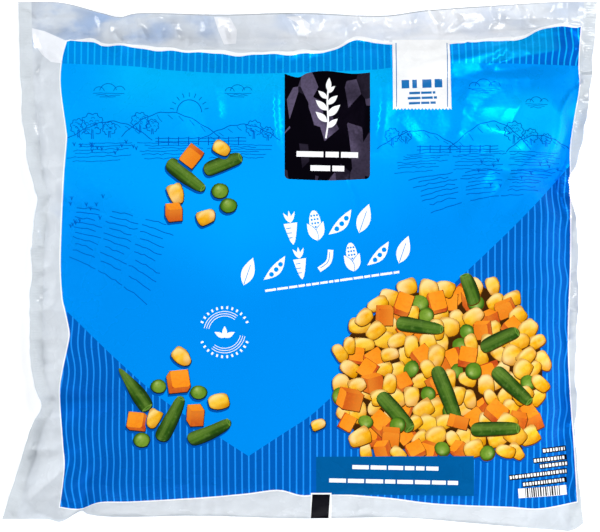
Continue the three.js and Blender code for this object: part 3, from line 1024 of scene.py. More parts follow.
def heap_shapes():
    """The heap: its dark ground, then corn, carrots, peas and beans from back to front."""
    rng = np.random.default_rng(HEAP_SEED)
    outline = np.array(HEAP_OUTLINE, float)
    ground = Line(HEAP_OUTLINE + HEAP_OUTLINE[:1]).every(5)[:-1]
    shapes = [Shape("ground", swollen(ground, -5))]
    low, high = outline.min(axis=0), outline.max(axis=0)
    places, shades = [], []
    for row, y in enumerate(np.arange(low[1] + 3, high[1], HEAP_PITCH * 0.87)):
        for x in np.arange(low[0], high[0], HEAP_PITCH) + HEAP_PITCH / 2 * (row % 2):
            place = np.array([x, y]) + rng.normal(0, HEAP_PITCH * 0.13, 2)
            if inside(outline, place):
                places.append(place)
    pieces = []
    for place in places:
        kind = rng.choice(list(HEAP_KINDS), p=list(HEAP_KINDS.values()))
        size = {name: rng.uniform(*sizes) for name, sizes in HEAP_SIZES.items()}[kind]
        lift = HEAP_LIFTS[kind] + rng.uniform(0, 22)
        pieces.append((place[1] - lift, kind, place, rng.uniform(0, TAU), size))
    for x, y, angle, length in HEAP_BEANS:
        pieces.append((y - HEAP_LIFTS["bean"], "bean", np.array([x, y]), angle, length))
    for _, kind, place, angle, size in sorted(pieces, key=lambda piece: -piece[0]):
        made = piece_shapes(kind, rng, place, angle, size, False)
        shades.append(Shape("shade", swollen(made[1].outline, 0.6, (-0.4, -1.2)), within="field"))
        shapes += made
    return shades + shapes


def inside(outline, place):
    """True if a place lies within an outline."""
    ahead = np.roll(outline, -1, axis=0)
    crosses = (outline[:, 1] > place[1]) != (ahead[:, 1] > place[1])
    rise = np.where(crosses, ahead[:, 1] - outline[:, 1], 1)
    x = outline[:, 0] + (place[1] - outline[:, 1]) / rise * (ahead[:, 0] - outline[:, 0])
    return np.count_nonzero(crosses & (x > place[0])) % 2 == 1


def loose_shapes():
    """The vegetables that lie apart from the heap."""
    rng = np.random.default_rng(HEAP_SEED + 1)
    shapes = []
    for kind, place, angle, size in LOOSE:
        shapes += piece_shapes(kind, rng, np.array(place, float), angle, size, True)
    return shapes


def print_shapes():
    """Everything printed on the front, from the bottom layer up."""
    return (field_shapes() + scene_shapes() + ornament_shapes() + loose_shapes() + heap_shapes()
            + label_shapes() + small_print_shapes())


def film_outline():
    """The film's edge, once round from the bottom left corner, with the teeth of both seals."""

    def seal(line, side):
        steps = 2 * int(line.length / RIB_PITCH)
        share = np.linspace(0, 1, steps + 1)
        places = line.at(share)
        teeth = np.where(np.arange(steps + 1) % 2 == 1, TOOTH_DEPTH, 0)
        along = share * line.length
        wander = noise(along / 9, np.full(steps + 1, 3.5 + side), 23) + noise(along / 5, share * 0, 24) / 2
        wander = wander * SEAL_WANDER * np.sin(math.pi * share) ** 0.5
        return places + np.column_stack([side * (teeth + wander), np.zeros(steps + 1)])

    bottom, top = BOTTOM.every(RIM_STEP), TOP.every(RIM_STEP)
    return np.vstack([bottom[:-1], seal(RIGHT, -1)[:-1], top[::-1][:-1], seal(LEFT, 1)[::-1][:-1]])


def hex_grid(step):
    """Places of an even grid of triangles over the whole film."""
    x = np.arange(-GRID_REACH[0], GRID_REACH[0], step)
    rows = np.arange(-GRID_REACH[1], GRID_REACH[1], step * 0.87)
    return np.vstack([np.column_stack([x + step / 2 * (row % 2), np.full(len(x), y)]) for row, y in enumerate(rows)])


def sprinkled(steps, with_ribs):
    """Corners of the film inside its edge: fine near the edge, coarse in the middle, and rows for the ribs."""
    chosen = []
    for number, step in enumerate(steps):
        grid = hex_grid(step)
        across, up = film_shares(grid[:, 0], grid[:, 1])
        from_side = np.minimum(across, 1 - across) * WIDTH
        from_edge = np.minimum(from_side, np.minimum(up, 1 - up) * HEIGHT)
        keep = (across > 0) & (across < 1) & (up > 0) & (up < 1) & (from_edge > step * 0.6)
        if with_ribs:
            keep &= from_side > SEAL_WIDTH + 0.4
        if len(steps) > 1:
            keep &= (from_edge < MARGIN) if number == 0 else (from_edge >= MARGIN)
        chosen.append(grid[keep])
    if with_ribs:
        up = np.arange(RIB_PITCH / 4, HEIGHT, RIB_PITCH / 4) / HEIGHT
        for depth in RIB_DEPTHS:
            for across in (depth / WIDTH, 1 - depth / WIDTH):
                chosen.append(place_on_film(np.full(len(up), across), up))
    return np.vstack(chosen)


def stepped(outline, step):
    """An outline with its long sides divided into steps."""
    parts = []
    for start, end in zip(outline, np.roll(outline, -1, axis=0)):
        count = max(int(math.hypot(*(end - start)) / step), 1)
        parts.append(start + (end - start) * np.arange(count)[:, None] / count)
    return np.vstack(parts)


def leftward(outline):
    """An outline turned to run with its inside on the left."""
    ahead = np.roll(outline, -1, axis=0)
    area = np.sum(outline[:, 0] * ahead[:, 1] - ahead[:, 0] * outline[:, 1])
    return outline if area > 0 else outline[::-1]


def cut_film(outline, inner, shapes):
    """Triangles of the flat film, cut along every printed outline, and the topmost shape of each."""
    parts = [outline, inner, *(stepped(leftward(shape.outline), FINE_STEP * 1.5) for shape in shapes)]
    ends = np.cumsum([len(part) for part in parts])
    starts = ends - [len(part) for part in parts]
    rings = [list(range(starts[number], ends[number])) for number in (0, *range(2, len(parts)))]
    points = [Vector(place) for place in np.vstack(parts)]
    found, _, faces, sources, _, layers = geometry.delaunay_2d_cdt(points, [], rings, 1, WELD, True)
    inks = [shape.ink for shape in shapes]
    first = {ink: number + 1 for number, ink in reversed(list(enumerate(inks)))}
    needs = [None, *(first.get(shape.within) for shape in shapes)]
    tops, corners = [], []
    for face, layer in zip(faces, layers):
        there = set(layer)
        if 0 in there:
            corners.append(face[:3])
            drawn = (n for n in there if n and (needs[n] is None or needs[n] in there))
            tops.append(max(drawn, default=0) - 1)
    used, corners = np.unique(np.array(corners), return_inverse=True)
    corners = corners.reshape(-1, 3)
    places = np.array([place[:] for place in found])[used]
    number_of = {number: count for count, number in enumerate(used)}
    a, b, c = (places[corners[:, number]] for number in range(3))
    clockwise = (b[:, 0] - a[:, 0]) * (c[:, 1] - a[:, 1]) < (b[:, 1] - a[:, 1]) * (c[:, 0] - a[:, 0])
    corners[clockwise] = corners[clockwise][:, ::-1]
    rim = np.zeros(len(outline), int)
    for number, origins in enumerate(sources):
        for origin in origins:
            if origin < len(outline):
                rim[origin] = number_of[number]
    return places, corners, np.array(tops), rim


def rib_relief(places):
    """Height and slope of the fine ribs pressed into both seals."""
    across, up = film_shares(places[:, 0], places[:, 1])
    depth = np.minimum(across, 1 - across) * WIDTH
    share = np.clip((SEAL_WIDTH - depth) / 1.2, 0, 1) * np.clip((depth - 2) / 3, 0.2, 1) * RIB_HEIGHT
    turn = TAU * up * HEIGHT / RIB_PITCH
    return share * np.sin(turn), share * np.cos(turn) * TAU / RIB_PITCH


def stripe_phase(places):
    """Number of stripes passed, from left to right, with the waves that the film's buckles put in them."""
    x, y = places[:, 0], places[:, 1]
    left = np.exp(-np.maximum(x + 158, 0) / 26) * np.clip((-10 - y) / 40, 0, 1)
    right = np.exp(-np.maximum(178 - x, 0) / 14)
    wave = 1.5 * left * np.sin(y / 8.2 + 0.6) + 0.8 * left * np.sin(y / 4.7)
    wave = wave + 1.1 * right * np.sin(y / 6.3) + 0.6 * right * np.sin(y / 3.4 + 1)
    return (x + wave) / STRIPE_PITCH


def print_values(places, corners, tops, shapes):
    """For each corner of each triangle: two shading coordinates of its topmost shape, and its tone."""
    frames = [(*shape.middle, shape.angle, *shape.half, shape.tone) for shape in shapes]
    rows = np.array(frames + [(0, 0, 0, 1, 1, 0)])[tops]
    values = np.zeros((len(corners), 3, 3))
    stripes = stripe_phase(places)
    striped = np.array([shape.ink in ("band", "chevron") for shape in shapes] + [False])[tops]
    for number in range(3):
        at = places[corners[:, number]]
        x, y = at[:, 0] - rows[:, 0], at[:, 1] - rows[:, 1]
        c, s = np.cos(rows[:, 2]), np.sin(rows[:, 2])
        values[:, number, 0] = np.where(striped, stripes[corners[:, number]], (x * c + y * s) / rows[:, 3])
        values[:, number, 1] = (y * c - x * s) / rows[:, 4]
        values[:, number, 2] = rows[:, 5]
    return values


class Nodes:
    """Short calls for the nodes of one material."""

    def __init__(self, material):
        material.use_nodes = True
        self.tree = material.node_tree
        self.shader = self.tree.nodes["Principled BSDF"]

    def add(self, kind, **values):
        """A node with its settings."""
        node = self.tree.nodes.new(kind)
        for name, value in values.items():
            setattr(node, name, value)
        return node

    def link(self, socket, value):
        """Join an output to an input, or give the input a number or a colour."""
        if hasattr(value, "is_output"):
            self.tree.links.new(value, socket)
        elif hasattr(value, "__len__"):
            socket.default_value = (*value, 1) if len(socket.default_value) > len(value) else value
        else:
            socket.default_value = value

    def math(self, operation, a, b=0.0):
        """One sum of one or two values."""
        node = self.add("ShaderNodeMath", operation=operation)
        for socket, value in zip(node.inputs, (a, b)):
            self.link(socket, value)
        return node.outputs[0]

    def times(self, *values):
        """Product of several values."""
        product = values[0]
        for value in values[1:]:
            product = self.math("MULTIPLY", product, value)
        return product

    def span(self, value, low, high, to_low=0.0, to_high=1.0):
        """A value's smooth run between two limits."""
        node = self.add("ShaderNodeMapRange", interpolation_type="SMOOTHSTEP")
        for socket, given in zip(node.inputs, (value, low, high, to_low, to_high)):
            self.link(socket, given)
        return node.outputs[0]

    def mix(self, share, a, b):
        """Two colours, mixed by a share from 0 to 1."""
        node = self.add("ShaderNodeMix", data_type="RGBA")
        self.link(node.inputs[0], share)
        self.link(node.inputs[6], a)
        self.link(node.inputs[7], b)
        return node.outputs[2]

    def spots(self, scale, detail=2.0, stretch=(1, 1, 1)):
        """Noise of a given scale, per metre, in the object's own coordinates."""
        mapping = self.add("ShaderNodeMapping")
        self.link(mapping.inputs["Vector"], self.add("ShaderNodeTexCoord").outputs["Object"])
        mapping.inputs["Scale"].default_value = stretch
        node = self.add("ShaderNodeTexNoise")
        self.link(node.inputs["Vector"], mapping.outputs[0])
        node.inputs["Scale"].default_value = scale
        node.inputs["Detail"].default_value = detail
        return node.outputs[0]

    def position(self):
        """How far right and up from the bag's middle, in metres."""
        parts = self.add("ShaderNodeSeparateXYZ")
        self.link(parts.inputs[0], self.add("ShaderNodeTexCoord").outputs["Object"])
        return parts.outputs[0], parts.outputs[1]

    def printed(self):
        """The two shading coordinates and the tone that the film's print holds."""
        node = self.add("ShaderNodeAttribute", attribute_name="print")
        parts = self.add("ShaderNodeSeparateXYZ")
        self.link(parts.inputs[0], node.outputs["Vector"])
        return parts.outputs[0], parts.outputs[1], parts.outputs[2]

    def facing(self, p, q, tone, towards):
        """How far the shading coordinates lie towards one side of the bag, for a shape whose tone is its turn."""
        turn = self.times(tone, TAU)
        c, s = self.math("COSINE", turn), self.math("SINE", turn)
        along = self.math("ADD", self.times(c, towards[0]), self.times(s, towards[1]))
        across = self.math("SUBTRACT", self.times(c, towards[1]), self.times(s, towards[0]))
        return self.math("ADD", self.times(p, along), self.times(q, across))

    def away(self, p, q, middle=(0, 0), stretch=(1, 1)):
        """Distance of the shading coordinates from a middle."""
        x = self.times(self.math("SUBTRACT", p, middle[0]), stretch[0])
        y = self.times(self.math("SUBTRACT", q, middle[1]), stretch[1])
        return self.math("SQRT", self.math("ADD", self.math("POWER", x, 2), self.math("POWER", y, 2)))


def mottled(nodes, colour):
    """A plain colour with faint, slightly darker mottles."""
    return nodes.mix(nodes.span(nodes.spots(90), 0.35, 0.65), colour, [c * 0.94 for c in colour])


def film_material(name, paint, settings):
    """Glossy printed film in one ink: its colour from its paint, its gloss and fine grain from noise."""
    white = name in WHITE_INKS
    material = bpy.data.materials.new(name)
    nodes = Nodes(material)
    shader = nodes.shader
    nodes.link(shader.inputs["Base Color"], paint(nodes) if callable(paint) else mottled(nodes, paint))
    dull = WHITE_DULLNESS if white else INK_DULLNESS
    nodes.link(shader.inputs["Roughness"],
               nodes.span(nodes.spots(60, 3), 0.3, 0.7, settings.gloss_low + dull, settings.gloss_high + dull))
    grain = nodes.add("ShaderNodeBump")
    grain.inputs["Strength"].default_value = 0.25
    grain.inputs["Distance"].default_value = 0.0004
    nodes.link(grain.inputs["Height"], nodes.math("ADD", nodes.spots(420, 3), nodes.times(nodes.spots(110, 2), 2)))
    nodes.link(shader.inputs["Normal"], grain.outputs[0])
    shader.inputs["IOR"].default_value = 1.5
    shader.inputs["Metallic"].default_value = 0.0 if white else settings.pearl
    shader.inputs["Specular IOR Level"].default_value = WHITE_SPECULAR if white else 0.0
    shader.inputs["Coat Weight"].default_value = WHITE_COAT if white else 0.0
    shader.inputs["Coat Roughness"].default_value = 0.1
    return material


def field_paint(colour):
    """Paint of the printed field, with painted light and shade: paler along its top and in the upper right as painted
    sheen, deeper below and to the sides as painted shade.
    """

    def paint(nodes):
        x, y = nodes.position()
        aside = nodes.math("ABSOLUTE", nodes.math("ADD", x, 0.04))
        level = nodes.math("SUBTRACT", y, nodes.times(aside, 0.45))
        # Painted shade: the blue deepens low down and towards the sides
        body = nodes.mix(nodes.span(level, -0.04, 0.035), FIELD_PAINTED_SHADE, colour)
        # Painted sheen: paler along the top of the field
        upper = nodes.times(nodes.span(y, 0.082, 0.125), nodes.span(x, -0.15, -0.1),
                            nodes.span(x, 0.05, 0.085, 0.9, 0))
        body = nodes.mix(upper, body, FIELD_PAINTED_SHEEN)
        # Painted shade in the upper right corner
        corner = nodes.times(nodes.span(y, 0.098, 0.118), nodes.span(x, 0.06, 0.1, 0, 0.8))
        body = nodes.mix(corner, body, FIELD_PAINTED_SHADE)
        # Painted glare: pale spots down the right side
        right = nodes.times(nodes.span(x, 0.105, 0.135), nodes.span(y, 0.05, 0.085),
                            nodes.span(y, 0.1, 0.118, 0.85, 0), nodes.span(nodes.spots(26, 1), 0.4, 0.52))
        return nodes.mix(right, body, FIELD_PAINTED_SHEEN)

    return paint


def band_paint(nodes):
    """Blue of the striped band: deeper to the right as painted shade, with a pale patch of painted glare above the
    crease in its right end.
    """
    x, y = nodes.position()
    # Painted shade: deeper blue towards the right end
    body = nodes.mix(nodes.span(x, 0.09, 0.175), linear(0, 138, 228), linear(2, 98, 202))
    # Painted glare: a pale patch above the crease at the right end
    rise = nodes.math("SUBTRACT", y, nodes.times(nodes.math("SUBTRACT", x, 0.1235), 0.19))
    patch = nodes.times(nodes.span(rise, 0.1305, 0.1325), nodes.span(x, 0.105, 0.13),
                        nodes.span(x, 0.16, 0.172, 0.55, 0))
    return nodes.mix(patch, body, linear(6, 176, 240))


def striped(base, line):
    """Paint of upright stripes with thin lines between them."""

    def paint(nodes):
        phase, _, _ = nodes.printed()
        middle = nodes.math("ABSOLUTE", nodes.math("SUBTRACT", nodes.math("FRACT", phase), 0.5))
        share = nodes.span(middle, STRIPE_LINE / 2 - 0.02, STRIPE_LINE / 2 + 0.05, 1, 0)
        return nodes.mix(share, base(nodes) if callable(base) else base, line)

    return paint


def corn_paint(nodes):
    """Golden kernel, paler at its tip and where the light falls, browner round its edge."""
    p, q, tone = nodes.printed()
    body = nodes.mix(nodes.span(nodes.spots(75), 0.35, 0.65), linear(240, 168, 12), linear(248, 196, 44))
    patches = nodes.span(nodes.spots(280), 0.38, 0.68)
    body = nodes.mix(nodes.times(patches, 0.45), body, linear(254, 214, 84))
    tip = nodes.times(nodes.span(p, -0.5, 0.95), nodes.span(nodes.spots(60), 0.45, 0.58, 0.1, 0.9))
    body = nodes.mix(tip, body, linear(252, 218, 152))
    lit = nodes.facing(p, q, tone, PRINT_LIGHT)
    body = nodes.mix(nodes.span(lit, 0.05, 0.75, 0, 0.6), body, linear(255, 236, 166))
    body = nodes.mix(nodes.span(lit, -0.8, -0.1, 0.7, 0), body, linear(214, 140, 4))
    ring = nodes.span(nodes.away(p, q), 0.74, 1.1, 0, 0.7)
    return nodes.mix(ring, body, linear(198, 126, 2))


def pea_paint(nodes):
    """Fresh green with a soft highlight and a shaded rim."""
    p, q, tone = nodes.printed()
    body = nodes.mix(tone, linear(92, 138, 32), linear(134, 166, 52))
    body = nodes.mix(nodes.span(nodes.away(p, q, (-0.1, 0.2)), 0.1, 0.8, 0.65, 0), body, linear(164, 194, 88))
    body = nodes.mix(nodes.span(nodes.away(p, q, (-0.2, 0.35)), 0.02, 0.36, 0.45, 0), body, linear(205, 226, 150))
    body = nodes.mix(nodes.times(nodes.span(nodes.spots(480), 0.45, 0.75), 0.45), body, linear(80, 130, 32))
    return nodes.mix(nodes.span(nodes.away(p, q, (0.06, -0.1)), 0.6, 1.05, 0.8, 0.0), linear(44, 92, 22), body)


def carrot_paint(nodes):
    """Orange, deeper on the faces that turn from the light."""
    p, q, tone = nodes.printed()
    body = nodes.mix(nodes.span(tone, 0.12, 0.75), linear(190, 70, 28), linear(250, 148, 30))
    body = nodes.mix(nodes.span(q, -0.8, 0.8, 0, 0.32), body, linear(252, 168, 56))
    return nodes.mix(nodes.times(nodes.span(nodes.spots(480), 0.45, 0.75), 0.35), body, linear(240, 118, 30))


def bean_paint(nodes):
    """Deep green pod with fine ridges along it and dark sides."""
    p, q, tone = nodes.printed()
    body = nodes.mix(nodes.span(nodes.spots(60), 0.35, 0.65), linear(42, 80, 20), linear(76, 114, 34))
    lit = nodes.facing(p, q, tone, PRINT_LIGHT)
    body = nodes.mix(nodes.span(nodes.away(p, q, (0, 0.15), (0, 1)), 0.02, 0.5, 0.5, 0), body, linear(108, 142, 56))
    body = nodes.mix(nodes.span(lit, 0.0, 0.7, 0, 0.35), body, linear(106, 138, 56))
    ridge = nodes.math("SINE", nodes.times(q, 13))
    body = nodes.mix(nodes.span(ridge, 0.5, 1, 0, 0.25), body, linear(28, 66, 20))
    body = nodes.mix(nodes.times(nodes.span(nodes.spots(420), 0.5, 0.75), 0.25), body, linear(126, 156, 78))
    return nodes.mix(nodes.span(nodes.math("ABSOLUTE", q), 0.55, 1.0, 0, 0.85), body, linear(20, 48, 18))


def pith_paint(nodes):
    """Cut end of a bean, pale round a darker middle."""
    p, q, tone = nodes.printed()
    return nodes.mix(nodes.span(nodes.away(p, q), 0.2, 0.9), linear(62, 104, 30), linear(112, 150, 58))


def bare_film(colour):
    """Paint of the unprinted film: milky white, with bluish grey clouds of painted shade and reflection where it lies
    empty along the top, and painted light that makes it paler towards the right there.
    """

    def paint(nodes):
        x, y = nodes.position()
        empty = nodes.span(y, 0.138, 0.15)
        # Painted shade and reflection: bluish grey clouds in the empty film along the top, greyer to the left
        clouds = nodes.span(nodes.spots(55, 3, (0.7, 1.3, 1)), 0.35, 0.6, 0.15, 1)
        clouds = nodes.times(empty, clouds, nodes.span(x, -0.12, 0.02, 0.95, 0.35))
        # Painted light: the empty film along the top made paler towards its right
        glow = nodes.times(empty, nodes.span(x, -0.09, 0.07, 0.05, 0.85), nodes.span(x, 0.11, 0.165, 1, 0.3))
        milky = nodes.mix(glow, mottled(nodes, colour), linear(240, 243, 249))
        grey = nodes.mix(nodes.span(x, -0.12, 0.0), linear(176, 184, 196), linear(204, 211, 222))
        cloud = nodes.mix(nodes.span(nodes.spots(30, 1), 0.35, 0.65), grey, linear(152, 176, 212))
        return nodes.mix(clouds, milky, cloud)

    return paint


def label_paint(nodes):
    """Black ink with a violet grey sheen painted on in slanting patches, as painted reflections."""
    slant = nodes.add("ShaderNodeMapping")
    nodes.link(slant.inputs["Vector"], nodes.add("ShaderNodeTexCoord").outputs["Object"])
    slant.inputs["Rotation"].default_value = (0, 0, LABEL_REFLECTION_SHARDS["slant"])
    slant.inputs["Scale"].default_value = LABEL_REFLECTION_SHARDS["stretch"]
    reflection_cells = nodes.add("ShaderNodeTexVoronoi")
    nodes.link(reflection_cells.inputs["Vector"], slant.outputs[0])
    reflection_cells.inputs["Scale"].default_value = LABEL_REFLECTION_SHARDS["scale"]
    parts = nodes.add("ShaderNodeSeparateXYZ")
    nodes.link(parts.inputs[0], reflection_cells.outputs["Color"])
    # Painted reflection: violet grey in some cells, over the black ink
    reflection_strength = nodes.span(nodes.spots(30, 1), 0.4, 0.56, 0.35, 1)
    mottle = nodes.span(nodes.spots(600, 2), 0.35, 0.6, 0.8, 1)
    share = nodes.times(nodes.span(parts.outputs[0], 0.5, 0.85, 0, 0.9), reflection_strength, mottle)
    return nodes.mix(share, linear(7, 5, 12), linear(96, 86, 114))


def edge_paint(nodes):
    """Thin dark edge of a piece: brown in the heap, bluish where it lies loose."""
    _, _, tone = nodes.printed()
    return nodes.mix(tone, linear(92, 50, 8), linear(16, 34, 40))


def film_paints(settings):
    """The paint of every ink, by the ink's name. The bare film comes first."""
    return {
        "film": bare_film(tuple(settings.film_colour)),
        "seal": tuple(c * share for c, share in zip(settings.film_colour, (1.0, 1.0, 0.985))),
        # Painted shade: the fold along the top edge, darker than the bare film
        "fold": tuple(c * 0.7 for c in settings.film_colour),
        # Painted highlight: the paler patches where facets of the bare film shine
        "painted_glint": linear(232, 236, 243),
        "rim": linear(244, 247, 252),
        "field": field_paint(tuple(settings.field_colour)),
        "band": striped(band_paint, linear(12, 176, 252)),
        "chevron": striped(tuple(settings.stripe_colour), linear(28, 146, 248)),
        "pen": linear(0, 88, 192),
        "label": label_paint,
        "tag": linear(246, 248, 250),
        "tag_blue": linear(20, 110, 180),
        "net_panel": linear(2, 92, 158),
        "white_ink": linear(246, 248, 252),
        "black_ink": linear(16, 16, 22),
        "shade": linear(0, 84, 178),
        "edge": edge_paint,
        "ground": linear(64, 36, 10),
        "corn": corn_paint,
        "pea": pea_paint,
        "carrot": carrot_paint,
        "bean": bean_paint,
        "pith": pith_paint,
    }


def film_middle():
    """The middle of the film's box seen from above, which the frame has at its origin."""
    outline = np.vstack([line.at(np.linspace(0, 1, 400)) for line in (TOP, BOTTOM, LEFT, RIGHT)])
    return (outline.min(axis=0) + outline.max(axis=0)) / 2


def placed_print(front_map):
    """Everything printed on the front, moved to where it lies on the raised film."""
    stage = bpy.context.scene.bag_stage
    distance, level = stage.view_width * stage.lens / SENSOR_WIDTH / MM, stage.rim_level / MM
    shapes = print_shapes()
    for shape in shapes:
        shape.outline = settled(shape.outline, front_map, distance, level)
        shape.middle = tuple(settled(np.array([shape.middle], float), front_map, distance, level)[0])
    return shapes


def lay_print(mesh, inks, sides):
    """Give each face of the film its ink, and each of its corners its print values."""
    ink = np.zeros(len(mesh.polygons), int)
    values = np.zeros((len(mesh.polygons), 3, 3))
    start = 0
    for places, faces, tops, shapes in sides:
        end = start + len(faces)
        ink[start:end] = np.array([inks.index(shape.ink) for shape in shapes] + [0])[tops]
        values[start:end] = print_values(places, faces, tops, shapes)
        start = end
    mesh.polygons.foreach_set("material_index", ink)
    mesh.attributes.new("print", "FLOAT_VECTOR", "CORNER").data.foreach_set("vector", values.ravel())


def lay_bake_map(mesh, flat, faces, front_count):
    """A map for baking: the front laid out flat, and the back pressed into the strip above it."""
    low, high = flat.min(axis=0), flat.max(axis=0)
    spread = (flat - low) / (high - low).max()
    spread[front_count:, 1] = 0.9 + spread[front_count:, 1] * 0.1
    mesh.uv_layers.new(name="OFBake").data.foreach_set("uv", spread[faces.ravel()].ravel())


def film_mesh(settings):
    """The film as one closed mesh, with its print values, its smooth normals and a map for baking."""
    front_map, back_map = film_maps(settings)
    shapes, back_shapes = placed_print(front_map), field_shapes()
    outline = film_outline()
    front, front_faces, tops, front_rim = cut_film(outline, sprinkled([FINE_STEP, COARSE_STEP], True), shapes)
    back, back_faces, back_tops, back_rim = cut_film(outline, sprinkled([BACK_STEP], False), back_shapes)
    back_faces = back_faces[:, ::-1]
    ribs, rib_slope = rib_relief(front)
    heights = np.concatenate([front_map.at(front) + ribs, back_map.at(back)])
    ahead = np.roll(np.arange(len(outline)), -1)
    a, b = front_rim, front_rim[ahead]
    c, d = back_rim[ahead] + len(front), back_rim + len(front)
    wall = np.vstack([np.column_stack([a, d, c]), np.column_stack([a, c, b])])
    flat = np.vstack([front, back])
    places = np.column_stack([flat - film_middle(), heights])
    faces = np.vstack([front_faces, back_faces + len(front), wall])

    paints = film_paints(settings)
    mesh = bpy.data.meshes.new("film")
    mesh.from_pydata((places * MM).tolist(), [], faces.tolist())
    mesh.polygons.foreach_set("use_smooth", np.ones(len(faces), bool))
    for name, paint in paints.items():
        mesh.materials.append(film_material(name, paint, settings))
    sides = [(front, front_faces, tops, shapes), (back, back_faces, back_tops, back_shapes)]
    lay_print(mesh, list(paints), sides)

    out = outline[ahead] - outline
    out = np.column_stack([out[:, 1], -out[:, 0], np.zeros(len(out))]) / np.linalg.norm(out, axis=1)[:, None]
    normals = np.vstack([front_map.normals(front, 1, rib_slope)[front_faces],
                         back_map.normals(back, -1, 0)[back_faces],
                         np.repeat(np.vstack([out, out])[:, None, :], 3, axis=1)])
    mesh.normals_split_custom_set(normals.reshape(-1, 3).tolist())
    lay_bake_map(mesh, flat, faces, len(front))
    return mesh


def add_object(name, data):
    """A new object in the scene."""
    made = bpy.data.objects.new(name, data)
    bpy.context.scene.collection.objects.link(made)
    return made


class FilmSettings(PropertyGroup):
    """Sizes and colours of the printed film."""

    film_thickness: FloatProperty(name="Film", description="Thickness of the seals, both films pressed together",
                                  default=0.6 * MM, unit="LENGTH")
    seam_thickness: FloatProperty(name="Back seam", description="Room that the back seam takes under the bag",
                                  default=0.5 * MM, unit="LENGTH")
    seam_width: FloatProperty(name="Seam width", description="Width of the back seam", default=11 * MM, unit="LENGTH")
    crease_share: FloatProperty(name="Creases", description="Depth of the sharp creases", default=1.0, subtype="FACTOR")
    pucker_share: FloatProperty(name="Puckers", description="Depth of the puckers and the crumple", default=1.0,
                                subtype="FACTOR")
    seed: IntProperty(name="Seed", description="Draw of the puckers and the crumple", default=4)
    gloss_low: FloatProperty(name="Smoothest", description="Roughness of the glossiest film", default=0.13)
    gloss_high: FloatProperty(name="Roughest", description="Roughness of the dullest film", default=0.25)
    pearl: FloatProperty(name="Pearl", description="How strongly the inks shine in their own colour",
                         default=0.15, subtype="FACTOR")
    film_colour: FloatVectorProperty(name="Film", description="White of the bare film", default=(0.605, 0.655, 0.715),
                                     subtype="COLOR")
    field_colour: FloatVectorProperty(name="Field", description="Blue of the printed field",
                                      default=linear(0, 160, 254), subtype="COLOR")
    stripe_colour: FloatVectorProperty(name="Stripes", description="Blue of the chevron's stripes",
                                       default=linear(2, 93, 187), subtype="COLOR")


class StageSettings(PropertyGroup):
    """Floor, light and camera."""

    lens: FloatProperty(name="Lens", description="Focal length of the camera, in millimetres", default=200)
    view_width: FloatProperty(name="View", description="Width that the camera sees at the height of the rim",
                              default=390 * MM, unit="LENGTH")
    rim_level: FloatProperty(name="Rim", description="Height that the view's width is measured at",
                             default=14 * MM, unit="LENGTH")
    key_power: FloatProperty(name="Key light", description="Power of the main soft light", default=25, unit="POWER")
    fill_power: FloatProperty(name="Fill light", description="Power of the low soft light from the left", default=19,
                              unit="POWER")
    top_power: FloatProperty(name="Top light", description="Power of the small light that glints on the film",
                             default=14.5, unit="POWER")
    floor_glow: FloatProperty(name="Floor glow", description="Light that the pale floor gives back by itself",
                              default=0.38)
    sky: FloatProperty(name="Sky", description="Brightness of the even light from all sides", default=0.08)


class BAG_OT_film(Operator):
    """Make the closed film with its print"""

    bl_idname = "bag.film"
    bl_label = "Make Film"

    def execute(self, context):
        film = add_object("film", film_mesh(context.scene.bag_film))
        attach(film, "root")
        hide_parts("bag")
        return {"FINISHED"}


class BAG_OT_back_seam(Operator):
    """Make the flat seam that joins the film along its back"""

    bl_idname = "bag.back_seam"
    bl_label = "Make Back Seam"

    def execute(self, context):
        settings = context.scene.bag_film
        _, back_map = film_maps(settings)
        across = np.linspace(*SEAM_ENDS, SEAM_COLUMNS)
        width = settings.seam_width / MM
        shares = np.linspace(-0.5, 0.5, SEAM_ROWS)
        flat = np.vstack([place_on_film(across, 0.5 + share * width / HEIGHT) for share in shares])
        height = back_map.at(flat)
        low = np.column_stack([flat, height - settings.seam_thickness / MM + SEAM_OFF])
        high = np.column_stack([flat, height + SEAM_IN])
        places = np.vstack([low, high])
        places[:, :2] -= film_middle()
        columns, half = len(across), len(flat)
        rows = len(shares)
        faces = []
        for row, column in itertools.product(range(rows - 1), range(columns - 1)):
            a = row * columns + column
            quad = (a, a + 1, a + columns + 1, a + columns)
            faces.append(quad[::-1])
            faces.append(tuple(corner + half for corner in quad))
        edge = [*range(columns), *(columns * row + columns - 1 for row in range(1, rows)),
                *range(half - 2, half - columns - 1, -1), *(columns * row for row in range(rows - 2, 0, -1))]
        faces += [(a, b, b + half, a + half) for a, b in zip(edge, edge[1:] + edge[:1])]
        mesh = bpy.data.meshes.new("back_seam")
        mesh.from_pydata((places * MM).tolist(), [], faces)
        mesh.polygons.foreach_set("use_smooth", np.ones(len(faces), bool))
        mesh.materials.append(film_material("seam", tuple(settings.film_colour), settings))
        seam = add_object("back_seam", mesh)
        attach(seam, "root")
        return {"FINISHED"}


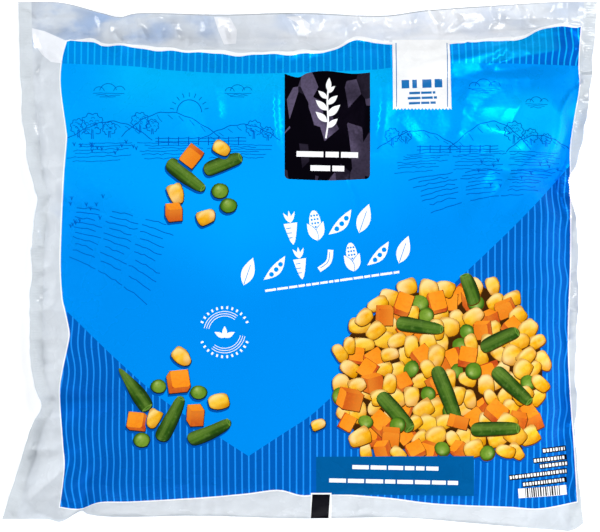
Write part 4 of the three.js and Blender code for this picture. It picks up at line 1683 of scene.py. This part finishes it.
class BAG_OT_stage(Operator):
    """Lay the pale floor, hang the soft lights and set the camera above the bag"""

    bl_idname = "bag.stage"
    bl_label = "Make Stage"

    def execute(self, context):
        settings = context.scene.bag_stage
        mesh = bpy.data.meshes.new("floor")
        signs = ((-1, -1), (1, -1), (1, 1), (-1, 1))
        mesh.from_pydata([(FLOOR_REACH * x, FLOOR_REACH * y, FLOOR_DEPTH) for x, y in signs], [], [(0, 1, 2, 3)])
        material = bpy.data.materials.new("pale_floor")
        nodes = Nodes(material)
        pale = nodes.mix(nodes.spots(3), (0.93, 0.93, 0.93), (0.95, 0.95, 0.95))
        nodes.link(nodes.shader.inputs["Base Color"], pale)
        nodes.shader.inputs["Roughness"].default_value = 0.8
        nodes.shader.inputs["Specular IOR Level"].default_value = 0.1
        nodes.shader.inputs["Emission Color"].default_value = (1, 1, 1, 1)
        nodes.shader.inputs["Emission Strength"].default_value = settings.floor_glow
        mesh.materials.append(material)
        add_object("floor", mesh)

        powers = (settings.key_power, settings.fill_power, settings.top_power)
        for (name, (place, size)), power in zip(LIGHTS.items(), powers):
            lamp = bpy.data.lights.new(name, "AREA")
            lamp.energy, lamp.size = power, size
            light = add_object(name, lamp)
            light.location = place
            light.rotation_euler = (-Vector(place)).to_track_quat("-Z", "Y").to_euler()
            light.visible_camera = False
            light.visible_glossy = name == "top_light"

        world = bpy.data.worlds.new("sky")
        world.use_nodes = True
        world.node_tree.nodes["Background"].inputs["Color"].default_value = (1, 1, 1, 1)
        world.node_tree.nodes["Background"].inputs["Strength"].default_value = settings.sky
        context.scene.world = world

        lens = bpy.data.cameras.new("camera")
        lens.lens, lens.sensor_width = settings.lens, SENSOR_WIDTH
        camera = add_object("camera", lens)
        middle = film_middle() * MM
        distance = settings.view_width * settings.lens / lens.sensor_width
        camera.location = (-middle[0], -middle[1], settings.rim_level + distance)
        context.scene.camera = camera
        context.scene.view_settings.view_transform = "Standard"
        return {"FINISHED"}


class BAG_PT_panel(Panel):
    """Lists the pieces of the bag and their settings"""

    bl_label = "Vegetable Bag"
    bl_space_type = "VIEW_3D"
    bl_region_type = "UI"
    bl_category = "Vegetable Bag"

    def draw(self, context):
        for operator, settings in ((BAG_OT_film, context.scene.bag_film), (BAG_OT_back_seam, None),
                                   (BAG_OT_stage, context.scene.bag_stage)):
            self.layout.operator(operator.bl_idname)
            for name in getattr(settings, "__annotations__", {}):
                self.layout.prop(settings, name)


CLASSES = (FilmSettings, StageSettings, BAG_OT_film, BAG_OT_back_seam, BAG_OT_stage, BAG_PT_panel)


def register():
    for made in CLASSES:
        bpy.utils.register_class(made)
    bpy.types.Scene.bag_film = PointerProperty(type=FilmSettings)
    bpy.types.Scene.bag_stage = PointerProperty(type=StageSettings)


def unregister():
    del bpy.types.Scene.bag_stage
    del bpy.types.Scene.bag_film
    for made in reversed(CLASSES):
        bpy.utils.unregister_class(made)


def main():
    register()
    bpy.ops.bag.stage()
    bpy.ops.bag.film()
    bpy.ops.bag.back_seam()


if __name__ == "__main__":
    main()
